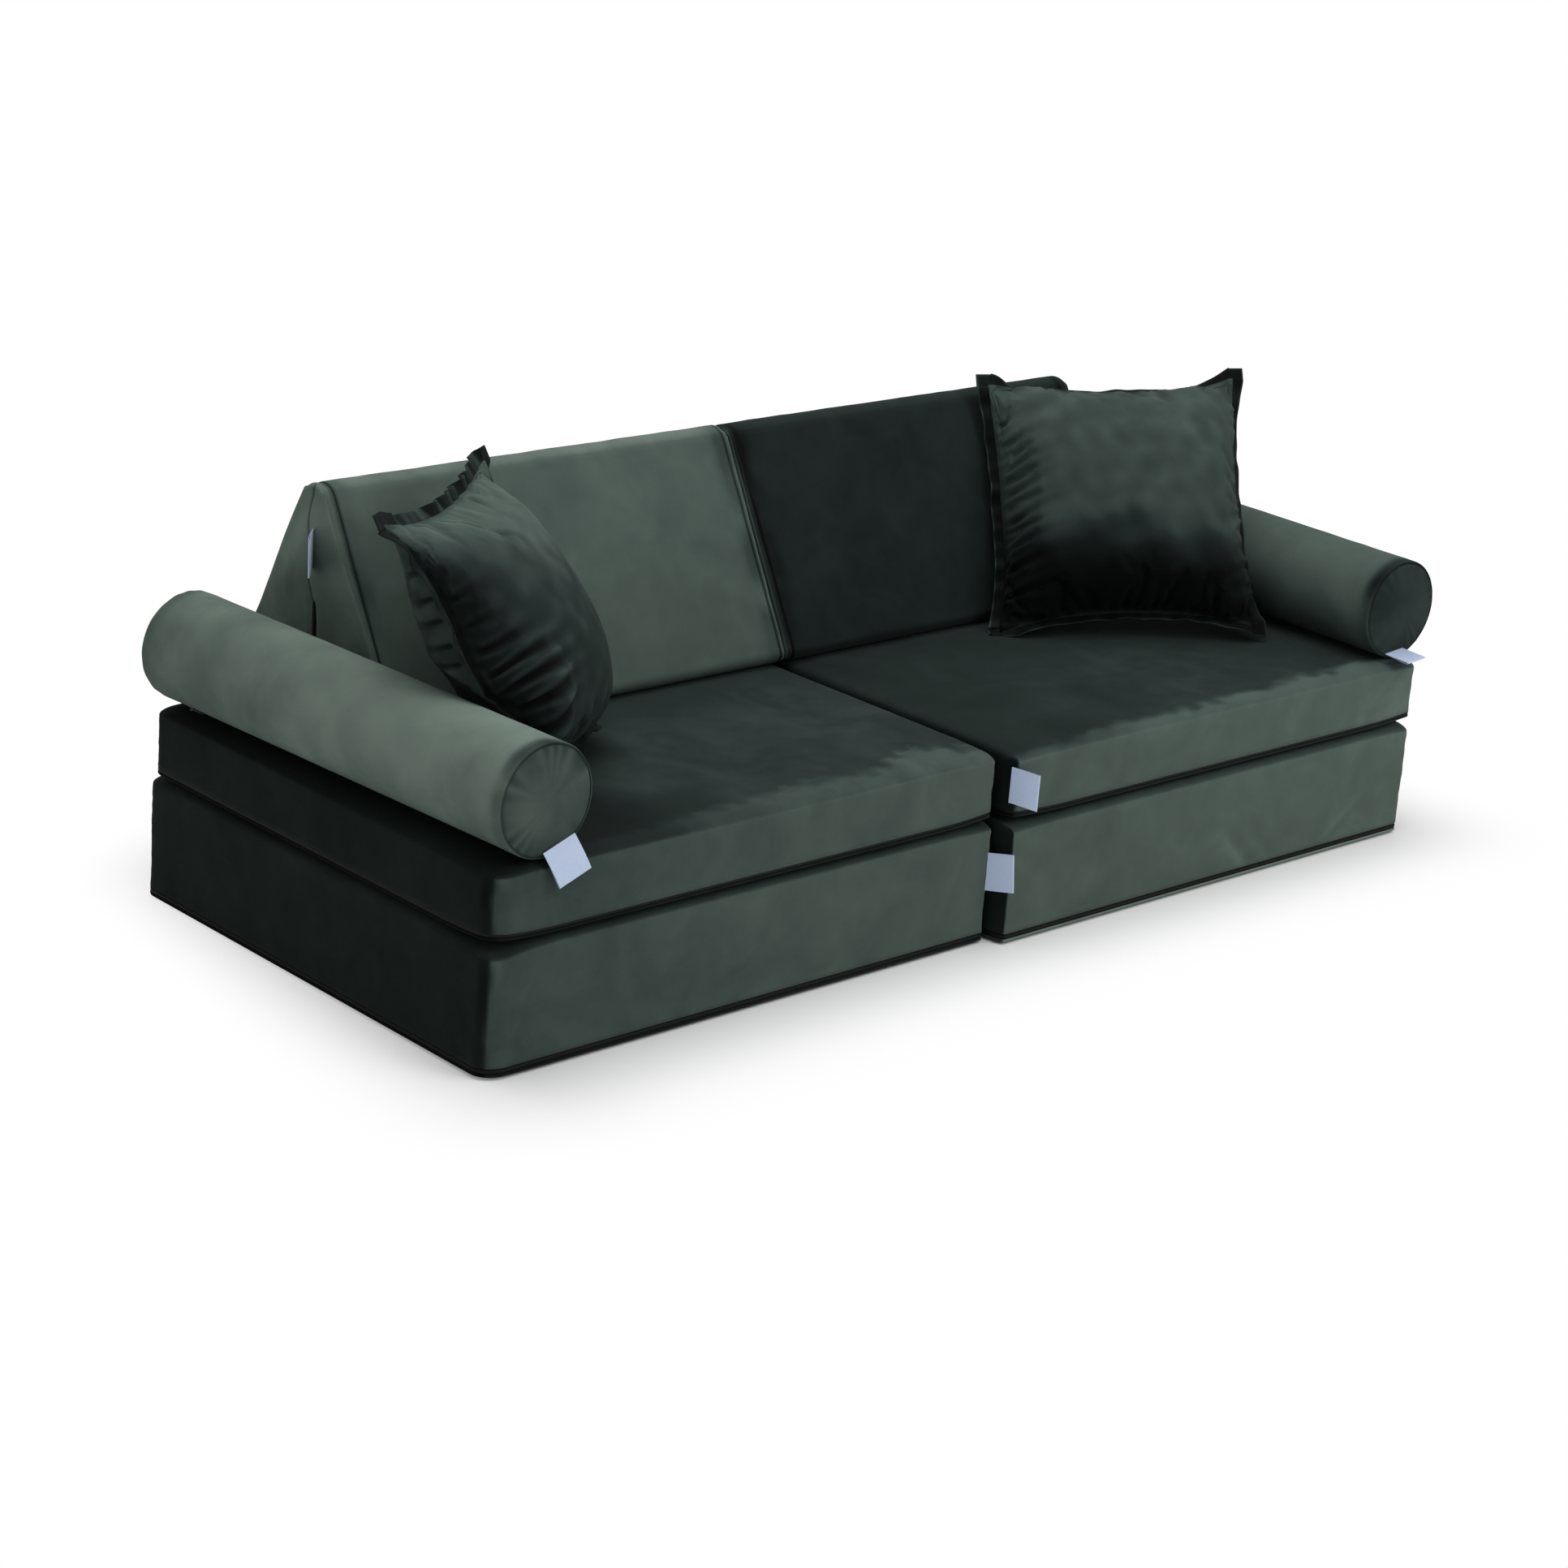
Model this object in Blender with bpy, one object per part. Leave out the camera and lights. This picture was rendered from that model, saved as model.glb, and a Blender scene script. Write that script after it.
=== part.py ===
"""Modular foam play sofa: ten loose foam pieces in zipped velvet covers.

Two base mattresses lie on the floor and carry two thinner seat mattresses. On the seats stand two
wedge backrests, two bolsters as arms and two flanged pillows. X runs along the sofa, the front
faces -Y and Z is up. The origin is on the floor, at the middle of the whole footprint.
"""

import math

import bpy
import numpy as np
from mathutils import Matrix, Vector

MM = 0.001

# Clearances and cover cloth
CONTACT_GAP = 0.3 * MM
COVER_WALL = 2.0 * MM
SIDE_EASE = 1.5 * MM
OVERRUN = 3.0 * MM
SHARP_ANGLE = math.radians(40)

# Mattresses
MODULE_LENGTH = 990 * MM
MODULE_GAP = 4 * MM
BASE_DEPTH = 850 * MM
BASE_HEIGHT = 200.5 * MM
SEAT_DEPTH = 836 * MM
SEAT_HEIGHT = 112.7 * MM
RIGHT_BASE_FORWARD = 26 * MM
RIGHT_BASE_ASIDE = 5 * MM
RIGHT_SEAT_BACK = 6 * MM
RIGHT_SEAT_ASIDE = 7 * MM
CORNER_RADIUS = 22 * MM
BOTTOM_EDGE_RADIUS = 6 * MM
TOP_EDGE_RADIUS = 12 * MM
SIDE_CROWN = 4 * MM
END_CROWN_SHARE = 0.35
TOP_ROLL = 2.5 * MM
TOP_ROLL_WIDTH = 70 * MM
BASE_ZIP_HEIGHT = 12.5 * MM
SEAT_ZIP_HEIGHT = 11.5 * MM
ZIP_BAND_MARGIN = 3 * MM
BULGE_SHARES = (0.33, 0.72)
MATTRESS_ZIP_SETBACK = 45 * MM
MATTRESS_ZIP_INNER_RUN = 30 * MM
MATTRESS_TRAVEL = 820 * MM

# Wedge backrests
WEDGE_LENGTH = 795 * MM
WEDGE_DEPTH = 407 * MM
WEDGE_HEIGHT = 352 * MM
WEDGE_SETBACK = 494 * MM
RIDGE_RADIUS = 34 * MM
FOOT_RADIUS = 18 * MM
WEDGE_END_RADIUS = 8 * MM
WEDGE_CROWN = 10 * MM
WEDGE_ZIP_RISE = 166 * MM
WEDGE_SLIDER_DROP = 88 * MM
WEDGE_TRAVEL = 66 * MM

# Bolsters
BOLSTER_LENGTH = 832 * MM
BOLSTER_DIAMETER = 170 * MM
BOLSTER_EDGE_RADIUS = 9 * MM
BOLSTER_DOME = 5 * MM
BOLSTER_FACETS = 24
BOLSTER_DOME_SHARE = 0.45
BOLSTER_ZIP_FACET = -4
BOLSTER_ZIP_MARGIN = 60 * MM
BOLSTER_TRAVEL = 620 * MM
LEFT_BOLSTER_INSET = 75 * MM
LEFT_BOLSTER_YAW = math.radians(2.3)
RIGHT_BOLSTER_INSET = 20 * MM
RIGHT_BOLSTER_YAW = math.radians(-1.4)
RIGHT_BOLSTER_SINK = 0.9 * MM
BOLSTER_SETBACK = 2 * MM

# Pillows
PILLOW_SIZE = 474 * MM
PILLOW_FRONT_CROWN = 120 * MM
PILLOW_SAG_SHARE = 0.3
PILLOW_BACK_CROWN = 56 * MM
FLANGE_WIDTH = 26 * MM
FLANGE_THICKNESS = 3.4 * MM
PILLOW_DRAW_IN = 28 * MM
BOTTOM_DRAW_SHARE = 0.3
ROOM_RIM_SHARE = 0.1
FILL_RIM_SHARE = 0.5
PILLOW_FILL_EASE = 2.4 * MM
PILLOW_CELLS = 10
CROWN_POWER = 0.55
PILLOW_ZIP_ROW = 2
PILLOW_ZIP_COLUMN = 3
PILLOW_TRAVEL = 28 * MM
PRESS_SOFTNESSES = (6 * MM, 2 * MM, 0.5 * MM, 0.1 * MM, 0.1 * MM, 0.1 * MM)
SEAT_PRESS_SOFTNESS = 0.1 * MM
BOLSTER_PRESS_GAP = 7 * MM
BOLSTER_PRESS_REACH = 60 * MM
LEFT_PILLOW_SHARES = (0.228, 0.274, 0.426)
LEFT_PILLOW_TURN = tuple(math.radians(a) for a in (-26.4, 1.0, 33.5))
RIGHT_PILLOW_SHARES = (0.416, 0.158, 0.419)
RIGHT_PILLOW_TURN = tuple(math.radians(a) for a in (-34.0, -2.6, -35.0))

# Zips: a woven tape with a coil bead, a slider that runs on it and the slider's pull
SLOT_WIDTH = 9.0 * MM
TAPE_SINK = 1.0 * MM
TAPE_THICKNESS = 0.9 * MM
BEAD_WIDTH = 4.4 * MM
BEAD_HEIGHT = 0.7 * MM
BEAD_CREST_SHARE = 0.5
SLIT_WIDTH = 1.6 * MM
SLIDER_LENGTH = 11 * MM
SLIDER_PLATE = 0.9 * MM
SLIDER_FLANGE = 1.0 * MM
PLATE_FLAT_SHARE = 0.8
BACK_PLATE = 0.8 * MM
BACK_PLATE_WIDTH = 6.6 * MM
NECK_WIDTH = 1.0 * MM
NECK_LENGTH = 4.2 * MM
BAIL_LENGTH = 7.4 * MM
BAIL_HEIGHT = 4.0 * MM
BAIL_WIDTH = 2.2 * MM
BAIL_BAR = 1.1 * MM
PULL_LENGTH = 27 * MM
PULL_WIDTH = 7.0 * MM
PULL_THICKNESS = 1.4 * MM
PULL_REST_SHARE = 0.75
EYE_CLEARANCE = 0.4 * MM
PARK_DISTANCE = 20 * MM

# Labels: a ribbon folded in two, both of its ends sewn into a seam
LABEL_WIDTH = 58 * MM
LABEL_LENGTH = 45 * MM
LABEL_THICKNESS = 0.5 * MM
LABEL_OPENING = 1.6 * MM
LABEL_SEAM_OPENING = 0.4 * MM
LABEL_STEPS = 3
BASE_LABEL_HEIGHT = 121 * MM
BASE_LABEL_SEAM_TURN = math.radians(30)
BASE_LABEL_TURN = math.radians(-64)
BASE_LABEL_BEND = 0 * MM
SEAT_LABEL_HEIGHT = 60 * MM
SEAT_LABEL_SEAM_TURN = math.radians(60)
SEAT_LABEL_TURN = math.radians(-78)
SEAT_LABEL_BEND = 6 * MM
WEDGE_LABEL_HEIGHT = 255 * MM
WEDGE_LABEL_TURN = math.radians(-138)
LEFT_BOLSTER_LABEL_PLACE = (23 * MM, -68 * MM)
LEFT_BOLSTER_LABEL_ALONG = (0.35, -0.5, -0.79)
LEFT_BOLSTER_LABEL_EDGE = (0.978, 0.0, 0.21)
RIGHT_BOLSTER_LABEL_PLACE = (-12 * MM, -70 * MM)
RIGHT_BOLSTER_LABEL_ALONG = (0.16, -0.92, -0.35)
RIGHT_BOLSTER_LABEL_EDGE = (0.98, 0.19, 0.0)

# Looks: colour, roughness and metallic
LOOKS = {
    "velvet": ((0.052, 0.068, 0.058), 0.85, 0.0),
    "foam": ((0.80, 0.76, 0.62), 0.95, 0.0),
    "filling": ((0.85, 0.85, 0.84), 0.95, 0.0),
    "zip_tape": ((0.012, 0.013, 0.013), 0.7, 0.0),
    "zip_metal": ((0.06, 0.06, 0.06), 0.4, 1.0),
    "label_ribbon": ((0.82, 0.83, 0.86), 0.6, 0.0),
}

# Mesh fineness
ARC_STEPS = 3
SIDE_STEPS = 3
EDGE_STEPS = 2
RIDGE_STEPS = 5
PULL_STEPS = 6


def clear_scene():
    for old in list(bpy.data.objects):
        bpy.data.objects.remove(old)


def make_material(name, colour, roughness, metallic):
    material = bpy.data.materials.new(name)
    material.use_nodes = True
    material.diffuse_color = (*colour, 1.0)
    shader = material.node_tree.nodes["Principled BSDF"]
    shader.inputs["Base Color"].default_value = (*colour, 1.0)
    shader.inputs["Roughness"].default_value = roughness
    shader.inputs["Metallic"].default_value = metallic
    return material


def make_frame(name, parent, place=(0, 0, 0), turn=(0, 0, 0)):
    """An empty that carries one loose module. Turns are about Y, then X, then Z."""
    frame = bpy.data.objects.new(name, None)
    bpy.context.scene.collection.objects.link(frame)
    frame.parent = parent
    frame.rotation_mode = "YXZ"
    frame.location = place
    frame.rotation_euler = turn
    return frame


def make_object(name, points, faces, parent, material=None):
    mesh = bpy.data.meshes.new(name)
    mesh.from_pydata([tuple(p) for p in points], [], faces)
    mesh.update()
    return place_mesh(name, mesh, parent, material)


def place_mesh(name, mesh, parent, material=None):
    piece = bpy.data.objects.new(name, mesh)
    bpy.context.scene.collection.objects.link(piece)
    piece.parent = parent
    if material is not None:
        mesh.materials.clear()
        mesh.materials.append(material)
    return piece


def smooth(piece):
    piece.data.shade_smooth()
    piece.data.set_sharp_from_angle(angle=SHARP_ANGLE)


def make_cutter(name, points, faces, parent):
    cutter = make_object(name, points, faces, parent)
    cutter.hide_render = True
    cutter.display_type = "WIRE"
    return cutter


def cut(piece, cutter, operation="DIFFERENCE"):
    modifier = piece.modifiers.new(cutter.name, "BOOLEAN")
    modifier.operation = operation
    modifier.object = cutter
    modifier.solver = "EXACT"


def loft(rings):
    """Points and faces of the closed skin through rings of equally many points, capped at both ends."""
    rings = [np.asarray(ring, float) for ring in rings]
    count = len(rings[0])
    faces = [tuple(range(count))[::-1]]
    for ring in range(len(rings) - 1):
        low = ring * count
        high = low + count
        for i in range(count):
            j = (i + 1) % count
            faces.append((low + i, low + j, high + j))
            faces.append((low + i, high + j, high + i))
    last = (len(rings) - 1) * count
    faces.append(tuple(range(last, last + count)))
    return facing_out(np.concatenate(rings), faces)


def facing_out(points, faces):
    """The same closed skin, turned so that its faces point outwards."""
    volume = 0.0
    for face in faces:
        corners = points[list(face)]
        for k in range(1, len(corners) - 1):
            volume += np.dot(corners[0], np.cross(corners[k], corners[k + 1]))
    if volume < 0:
        faces = [face[::-1] for face in faces]
    return points, faces


def sweep(frames, section):
    """A closed section carried along frames of (point, across, outward). Section points are (across, outward)."""
    rings = []
    for point, across, outward in frames:
        rings.append([point + across * a + outward * o for a, o in section])
    return loft(rings)


# Mattress: a foam block whose sides belly out a little and whose top rolls down to its edges


def rounded_rectangle(half_x, half_y, radius):
    """Outline from the back of the left side round by the front: points, outward normals, bulge shares."""
    points, normals, shares = [], [], []
    corners = ((-1, 1), (-1, -1), (1, -1), (1, 1))
    for k, (sx, sy) in enumerate(corners):
        centre = np.array([sx * (half_x - radius), sy * (half_y - radius)])
        for step in range(ARC_STEPS + 1):
            angle = math.pi / 2 * (1 + k + step / ARC_STEPS)
            normal = np.array([math.cos(angle), math.sin(angle)])
            points.append(centre + normal * radius)
            normals.append(normal)
            shares.append(0.0)
        nx, ny = corners[(k + 1) % 4]
        start = points[-1]
        end = np.array([nx * (half_x - radius), ny * (half_y - radius)]) + normals[-1] * radius
        for step in range(1, SIDE_STEPS):
            share = step / SIDE_STEPS
            points.append(start + (end - start) * share)
            normals.append(normals[-1])
            shares.append(4 * share * (1 - share) * (END_CROWN_SHARE if k % 2 == 0 else 1))
    return np.array(points), np.array(normals), np.array(shares)


def block_skin(depth, height, zip_height, side_offset, end_offset):
    """Skin of a mattress whose outer size is set in by side_offset all round and end_offset at top and bottom."""
    half_x = MODULE_LENGTH / 2 - side_offset
    half_y = depth / 2 - side_offset
    points, normals, shares = rounded_rectangle(half_x, half_y, CORNER_RADIUS - side_offset)
    bottom_radius = BOTTOM_EDGE_RADIUS - end_offset
    top_radius = TOP_EDGE_RADIUS - end_offset
    low = end_offset
    high = height - end_offset
    profile = []
    for step in range(EDGE_STEPS + 1):
        angle = math.pi / 2 * step / EDGE_STEPS
        inset = bottom_radius * (1 - math.sin(angle))
        profile.append((low + bottom_radius * (1 - math.cos(angle)), inset, 0.0))
    band_top = zip_height + SLOT_WIDTH / 2 + ZIP_BAND_MARGIN
    profile.append((band_top, 0.0, 0.0))
    shoulder = high - TOP_ROLL - top_radius
    for share in BULGE_SHARES:
        profile.append((band_top + (shoulder - band_top) * share, 0.0, math.sin(math.pi * share)))
    for step in range(EDGE_STEPS + 1):
        angle = math.pi / 2 * step / EDGE_STEPS
        inset = top_radius * (1 - math.cos(angle))
        profile.append((shoulder + top_radius * math.sin(angle), inset, 0.0))
    profile.append((high, TOP_ROLL_WIDTH - side_offset, 0.0))
    rings = []
    for z, inset, bulge in profile:
        reach = 1 - inset / np.array([half_x, half_y])
        flat = points * reach + normals * (SIDE_CROWN * bulge * shares)[:, None]
        rings.append(np.column_stack([flat, np.full(len(flat), z)]))
    return loft(rings)


def mattress_zip_frames(depth, zip_height, hand):
    """The zip's run: along the back, round the outer side and the front and a little way up the inner side."""
    points, normals, _ = rounded_rectangle(MODULE_LENGTH / 2, depth / 2, CORNER_RADIUS)
    block = ARC_STEPS + SIDE_STEPS
    side_step = (depth - 2 * CORNER_RADIUS) / SIDE_STEPS
    ends = [MATTRESS_ZIP_SETBACK, side_step - MATTRESS_ZIP_INNER_RUN]
    run = range(3 * block + ARC_STEPS, 6 * block + ARC_STEPS + 2)
    if hand > 0:
        run = range(block - 1, 4 * block + 1)
        ends.reverse()
    up = np.array([0.0, 0.0, 1.0])
    frames = []
    for i in run:
        k = i % len(points)
        frames.append((np.array([*points[k], zip_height]), up, np.array([*normals[k], 0.0])))
    return shorten(frames, *ends)


def shorten(frames, first, last):
    """The same run with its two ends drawn in."""
    frames = list(frames)
    for end, beside, amount in ((0, 1, first), (-1, -2, last)):
        point, across, outward = frames[end]
        step = frames[beside][0] - point
        frames[end] = (point + step / np.linalg.norm(step) * amount, across, outward)
    return frames


def slot_section():
    """The slot cut through the cover for the tape."""
    half = SLOT_WIDTH / 2
    deep = -COVER_WALL - OVERRUN / 2
    return [(half, deep), (half, OVERRUN), (-half, OVERRUN), (-half, deep)]


def tape_section():
    """Half widths of tape and bead, from the back face round by the bead."""
    tape = SLOT_WIDTH / 2 - CONTACT_GAP
    bead = BEAD_WIDTH / 2
    back = -TAPE_SINK - TAPE_THICKNESS
    front = -TAPE_SINK
    top = front + BEAD_HEIGHT
    return [
        (tape, back),
        (tape, front),
        (bead, front),
        (bead * BEAD_CREST_SHARE, top),
        (-bead * BEAD_CREST_SHARE, top),
        (-bead, front),
        (-tape, front),
        (-tape, back),
    ]


def make_zip(name, frames, slider_frame, travel, cover, parent, looks):
    """Cuts the zip's slot in the cover, lays the tape in it and hangs the slider and its pull there."""
    cut(cover, make_cutter(name + "_slot_cutter", *sweep(frames, slot_section()), parent))
    tape_skin = sweep(shorten(frames, CONTACT_GAP, CONTACT_GAP), tape_section())
    tape = make_object(name + "_zip", *tape_skin, parent, looks["zip_tape"])
    cut(tape, slit_cutter(name, slider_frame, travel, parent))
    slider = place_mesh(name + "_slider", looks["slider_mesh"], parent)
    slider.matrix_local = slider_frame
    pull = place_mesh(name + "_pull", looks["pull_mesh"], slider)
    pull.location = (0, 0, PULL_AXIS_HEIGHT)


def slit_cutter(name, slider_frame, travel, parent):
    """The slit between the two rows of teeth that the slider's neck runs in."""
    back = -SLIDER_LENGTH / 2 - CONTACT_GAP + min(travel, 0)
    front = SLIDER_LENGTH / 2 + CONTACT_GAP + max(travel, 0)
    points, faces = box(back, front, -SLIT_WIDTH / 2, SLIT_WIDTH / 2, -COVER_WALL - OVERRUN, OVERRUN)
    cutter = make_cutter(name + "_slit_cutter", points, faces, parent)
    cutter.matrix_local = slider_frame
    return cutter


def box(x0, x1, y0, y1, z0, z1):
    low = [(x0, y0, z0), (x1, y0, z0), (x1, y1, z0), (x0, y1, z0)]
    high = [(x, y, z1) for x, y, _ in low]
    return loft([low, high])


def run_matrix(point, travel, outward):
    """Frame of a slider: X along its travel, Z out of the cover."""
    x = Vector(travel).normalized()
    z = Vector(outward).normalized()
    y = z.cross(x)
    matrix = Matrix((x, y, z)).transposed().to_4x4()
    matrix.translation = Vector(point)
    return matrix


# Slider: two plates joined by a neck, with a bail over the front plate that holds the pull

PLATE_LOW = -TAPE_SINK + BEAD_HEIGHT + CONTACT_GAP
PLATE_TOP = PLATE_LOW + SLIDER_PLATE
PULL_AXIS_HEIGHT = PLATE_TOP + CONTACT_GAP + PULL_THICKNESS * PULL_REST_SHARE


def slider_section():
    """Section across the slider: front plate with its two lips, neck and back plate."""
    outer = SLOT_WIDTH / 2 - 2 * CONTACT_GAP
    inner = outer - SLIDER_FLANGE
    lip = -TAPE_SINK + CONTACT_GAP
    neck = NECK_WIDTH / 2
    back = BACK_PLATE_WIDTH / 2
    back_top = -TAPE_SINK - TAPE_THICKNESS - CONTACT_GAP
    back_low = back_top - BACK_PLATE
    right = [
        (outer * PLATE_FLAT_SHARE, PLATE_TOP),
        (outer, PLATE_TOP - SLIDER_PLATE / 2),
        (outer, lip),
        (inner, lip),
        (inner, PLATE_LOW),
        (neck, PLATE_LOW),
        (neck, back_top),
        (back, back_top),
        (back, back_low),
    ]
    return right + [(-y, z) for y, z in right[::-1]]


def bail_outline():
    """Side view of the bail, from its front foot over the top and back along the inside."""
    foot = PLATE_TOP - SLIDER_PLATE / 2
    top = PLATE_TOP + BAIL_HEIGHT
    half = BAIL_LENGTH / 2
    inside = half - BAIL_BAR
    ceiling = top - BAIL_BAR
    front = [(half, foot), (half, ceiling), (inside, top)]
    back = [(-x, z) for x, z in front[::-1]]
    under = [(-inside, foot), (-inside, ceiling - BAIL_BAR / 2), (-inside + BAIL_BAR / 2, ceiling)]
    return front + back + under + [(-x, z) for x, z in under[::-1]]


def make_slider_mesh(material):
    section = slider_section()
    half = SLIDER_LENGTH / 2
    body = make_object("slider_body", *loft([[(x, y, z) for y, z in section] for x in (-half, half)]), None)
    gap_low = -TAPE_SINK - TAPE_THICKNESS - CONTACT_GAP
    inner = SLOT_WIDTH / 2 - 2 * CONTACT_GAP - SLIDER_FLANGE
    web_room = box(-half - OVERRUN, half - NECK_LENGTH, -inner, inner, gap_low, PLATE_LOW)
    cut(body, make_cutter("slider_web_cutter", *web_room, None))
    outline = bail_outline()
    rings = [[(x, y, z) for x, z in outline] for y in (-BAIL_WIDTH / 2, BAIL_WIDTH / 2)]
    bail = make_cutter("slider_bail", *loft(rings[::-1]), None)
    cut(body, bail, "UNION")
    return baked_mesh(body, "zip_slider", material)


def make_pull_mesh(material):
    """The pull lies along X from its hinge bar, which is the end bar of its eye."""
    bar = PULL_THICKNESS / 2
    half = PULL_WIDTH / 2
    thick = PULL_THICKNESS / 2
    tip = PULL_LENGTH - half
    waist = BAIL_WIDTH / 2 + EYE_CLEARANCE + PULL_THICKNESS
    outline = [(-bar, -waist), (BAIL_LENGTH, -waist), (BAIL_LENGTH + half, -half)]
    for step in range(PULL_STEPS + 1):
        angle = math.pi * (step / PULL_STEPS - 0.5)
        outline.append((tip + half * math.cos(angle), half * math.sin(angle)))
    outline += [(BAIL_LENGTH + half, half), (BAIL_LENGTH, waist), (-bar, waist)]
    pull = make_object("pull_plate", *loft([[(x, y, z) for x, y in outline] for z in (-thick, thick)]), None)
    eye_half = BAIL_WIDTH / 2 + EYE_CLEARANCE
    eye_end = BAIL_LENGTH / 2 + 2 * EYE_CLEARANCE
    eye = box(bar, eye_end, -eye_half, eye_half, -OVERRUN, OVERRUN)
    cut(pull, make_cutter("pull_eye_cutter", *eye, None))
    return baked_mesh(pull, "zip_pull", material)


def baked_mesh(piece, name, material):
    """The finished mesh of a small part that several objects share. Its makings are removed."""
    graph = bpy.context.evaluated_depsgraph_get()
    mesh = bpy.data.meshes.new_from_object(piece.evaluated_get(graph))
    mesh.name = name
    mesh.materials.clear()
    mesh.materials.append(material)
    makings = [m.object for m in piece.modifiers] + [piece]
    for making in makings:
        bpy.data.objects.remove(making)
    return mesh


def hollow(name, outer, inner, parent, looks):
    """A cover: the outer skin less the room for what it holds."""
    cover = make_object(name + "_cover", *outer, parent, looks["velvet"])
    cut(cover, make_cutter(name + "_room_cutter", *inner, parent))
    smooth(cover)
    return cover


def make_mattress(name, depth, height, zip_height, hand, parent, looks):
    skins = [
        block_skin(depth, height, zip_height, side, end)
        for side, end in (
            (0.0, 0.0),
            (COVER_WALL, COVER_WALL),
            (COVER_WALL + SIDE_EASE, COVER_WALL + CONTACT_GAP),
        )
    ]
    cover = hollow(name, skins[0], skins[1], parent, looks)
    foam = make_object(name + "_foam", *skins[2], parent, looks["foam"])
    smooth(foam)
    end = MODULE_LENGTH / 2 - CORNER_RADIUS - MATTRESS_ZIP_SETBACK
    park = Vector((-hand * (end - PARK_DISTANCE), depth / 2, zip_height))
    frames = mattress_zip_frames(depth, zip_height, hand)
    slider_frame = run_matrix(park, (hand, 0, 0), (0, 1, 0))
    make_zip(name, frames, slider_frame, MATTRESS_TRAVEL, cover, parent, looks)


# Wedge: a rounded triangle carried along X, with swelling faces and flat end panels


def wedge_corners():
    """Centres, radii and first and last angles of the ridge and the two foot roundings."""
    half_depth = WEDGE_DEPTH / 2
    run = half_depth - FOOT_RADIUS
    rise = WEDGE_HEIGHT - RIDGE_RADIUS - FOOT_RADIUS
    slope = math.atan2(rise, run) + math.asin((RIDGE_RADIUS - FOOT_RADIUS) / math.hypot(run, rise))
    face = math.pi / 2 - slope
    front = (np.array([-half_depth + FOOT_RADIUS, FOOT_RADIUS]), FOOT_RADIUS, math.pi - face, 1.5 * math.pi)
    back = (np.array([half_depth - FOOT_RADIUS, FOOT_RADIUS]), FOOT_RADIUS, -math.pi / 2, face)
    ridge = (np.array([0.0, WEDGE_HEIGHT - RIDGE_RADIUS]), RIDGE_RADIUS, face, math.pi - face)
    return (front, back, ridge)


def wedge_section(offset, swell):
    """Outline in (y, z) set in by offset, its three faces swollen by swell at their middles."""
    points = []
    corners = wedge_corners()
    for k, (centre, radius, first, last) in enumerate(corners):
        steps = RIDGE_STEPS if k == 2 else ARC_STEPS
        for step in range(steps + 1):
            angle = first + (last - first) * step / steps
            normal = np.array([math.cos(angle), math.sin(angle)])
            points.append(centre + normal * (radius - offset))
        next_centre, next_radius, next_first, _ = corners[(k + 1) % 3]
        next_normal = np.array([math.cos(next_first), math.sin(next_first)])
        start = points[-1]
        end = next_centre + next_normal * (next_radius - offset)
        lift = 0.0 if k == 0 else swell
        for step in range(1, SIDE_STEPS):
            share = step / SIDE_STEPS
            points.append(start + (end - start) * share + normal * (lift * 4 * share * (1 - share)))
    return np.array(points)


def wedge_skin(side_offset, end_offset):
    half = WEDGE_LENGTH / 2 - end_offset
    radius = WEDGE_END_RADIUS - end_offset
    profile = []
    for step in range(EDGE_STEPS + 1):
        angle = math.pi / 2 * step / EDGE_STEPS
        profile.append((-half + radius * (1 - math.cos(angle)), radius * (1 - math.sin(angle)), 0.0))
    for step in range(1, SIDE_STEPS):
        share = step / SIDE_STEPS
        x = (half - radius) * (2 * share - 1)
        profile.append((x, 0.0, WEDGE_CROWN * 4 * share * (1 - share)))
    profile += [(-x, inset, swell) for x, inset, swell in profile[EDGE_STEPS::-1]]
    rings = []
    for x, inset, swell in profile:
        section = wedge_section(side_offset + inset, swell)
        rings.append(np.column_stack([np.full(len(section), x), section]))
    return loft(rings)


def wedge_zip_frames():
    """Down the middle of the left end panel, along the bottom and up the right end panel."""
    across = np.array([0.0, 1.0, 0.0])
    half = WEDGE_LENGTH / 2
    radius = WEDGE_END_RADIUS
    frames = []
    for side in (-1, 1):
        bends = []
        for step in range(EDGE_STEPS + 1):
            angle = math.pi / 2 * step / EDGE_STEPS
            outward = np.array([side * math.cos(angle), 0.0, -math.sin(angle)])
            centre = np.array([side * (half - radius), 0.0, radius])
            bends.append((centre + outward * radius, across * side, outward))
        end = (np.array([side * half, 0.0, WEDGE_ZIP_RISE]), across * side, np.array([side, 0.0, 0.0]))
        run = [end] + bends
        frames += run if side < 0 else run[::-1]
    return [(point, across, outward) for point, _, outward in frames]


def make_wedge(name, hand, parent, looks):
    outer = wedge_skin(0.0, 0.0)
    inner = wedge_skin(COVER_WALL, COVER_WALL)
    core = wedge_skin(COVER_WALL + CONTACT_GAP, COVER_WALL + SIDE_EASE)
    cover = hollow(name, outer, inner, parent, looks)
    foam = make_object(name + "_foam", *core, parent, looks["foam"])
    smooth(foam)
    park = Vector((hand * WEDGE_LENGTH / 2, 0, WEDGE_ZIP_RISE - WEDGE_SLIDER_DROP))
    slider_frame = run_matrix(park, (0, 0, -1), (hand, 0, 0))
    make_zip(name, wedge_zip_frames(), slider_frame, -WEDGE_TRAVEL, cover, parent, looks)


# Bolster: a foam cylinder along Y with domed ends


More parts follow.
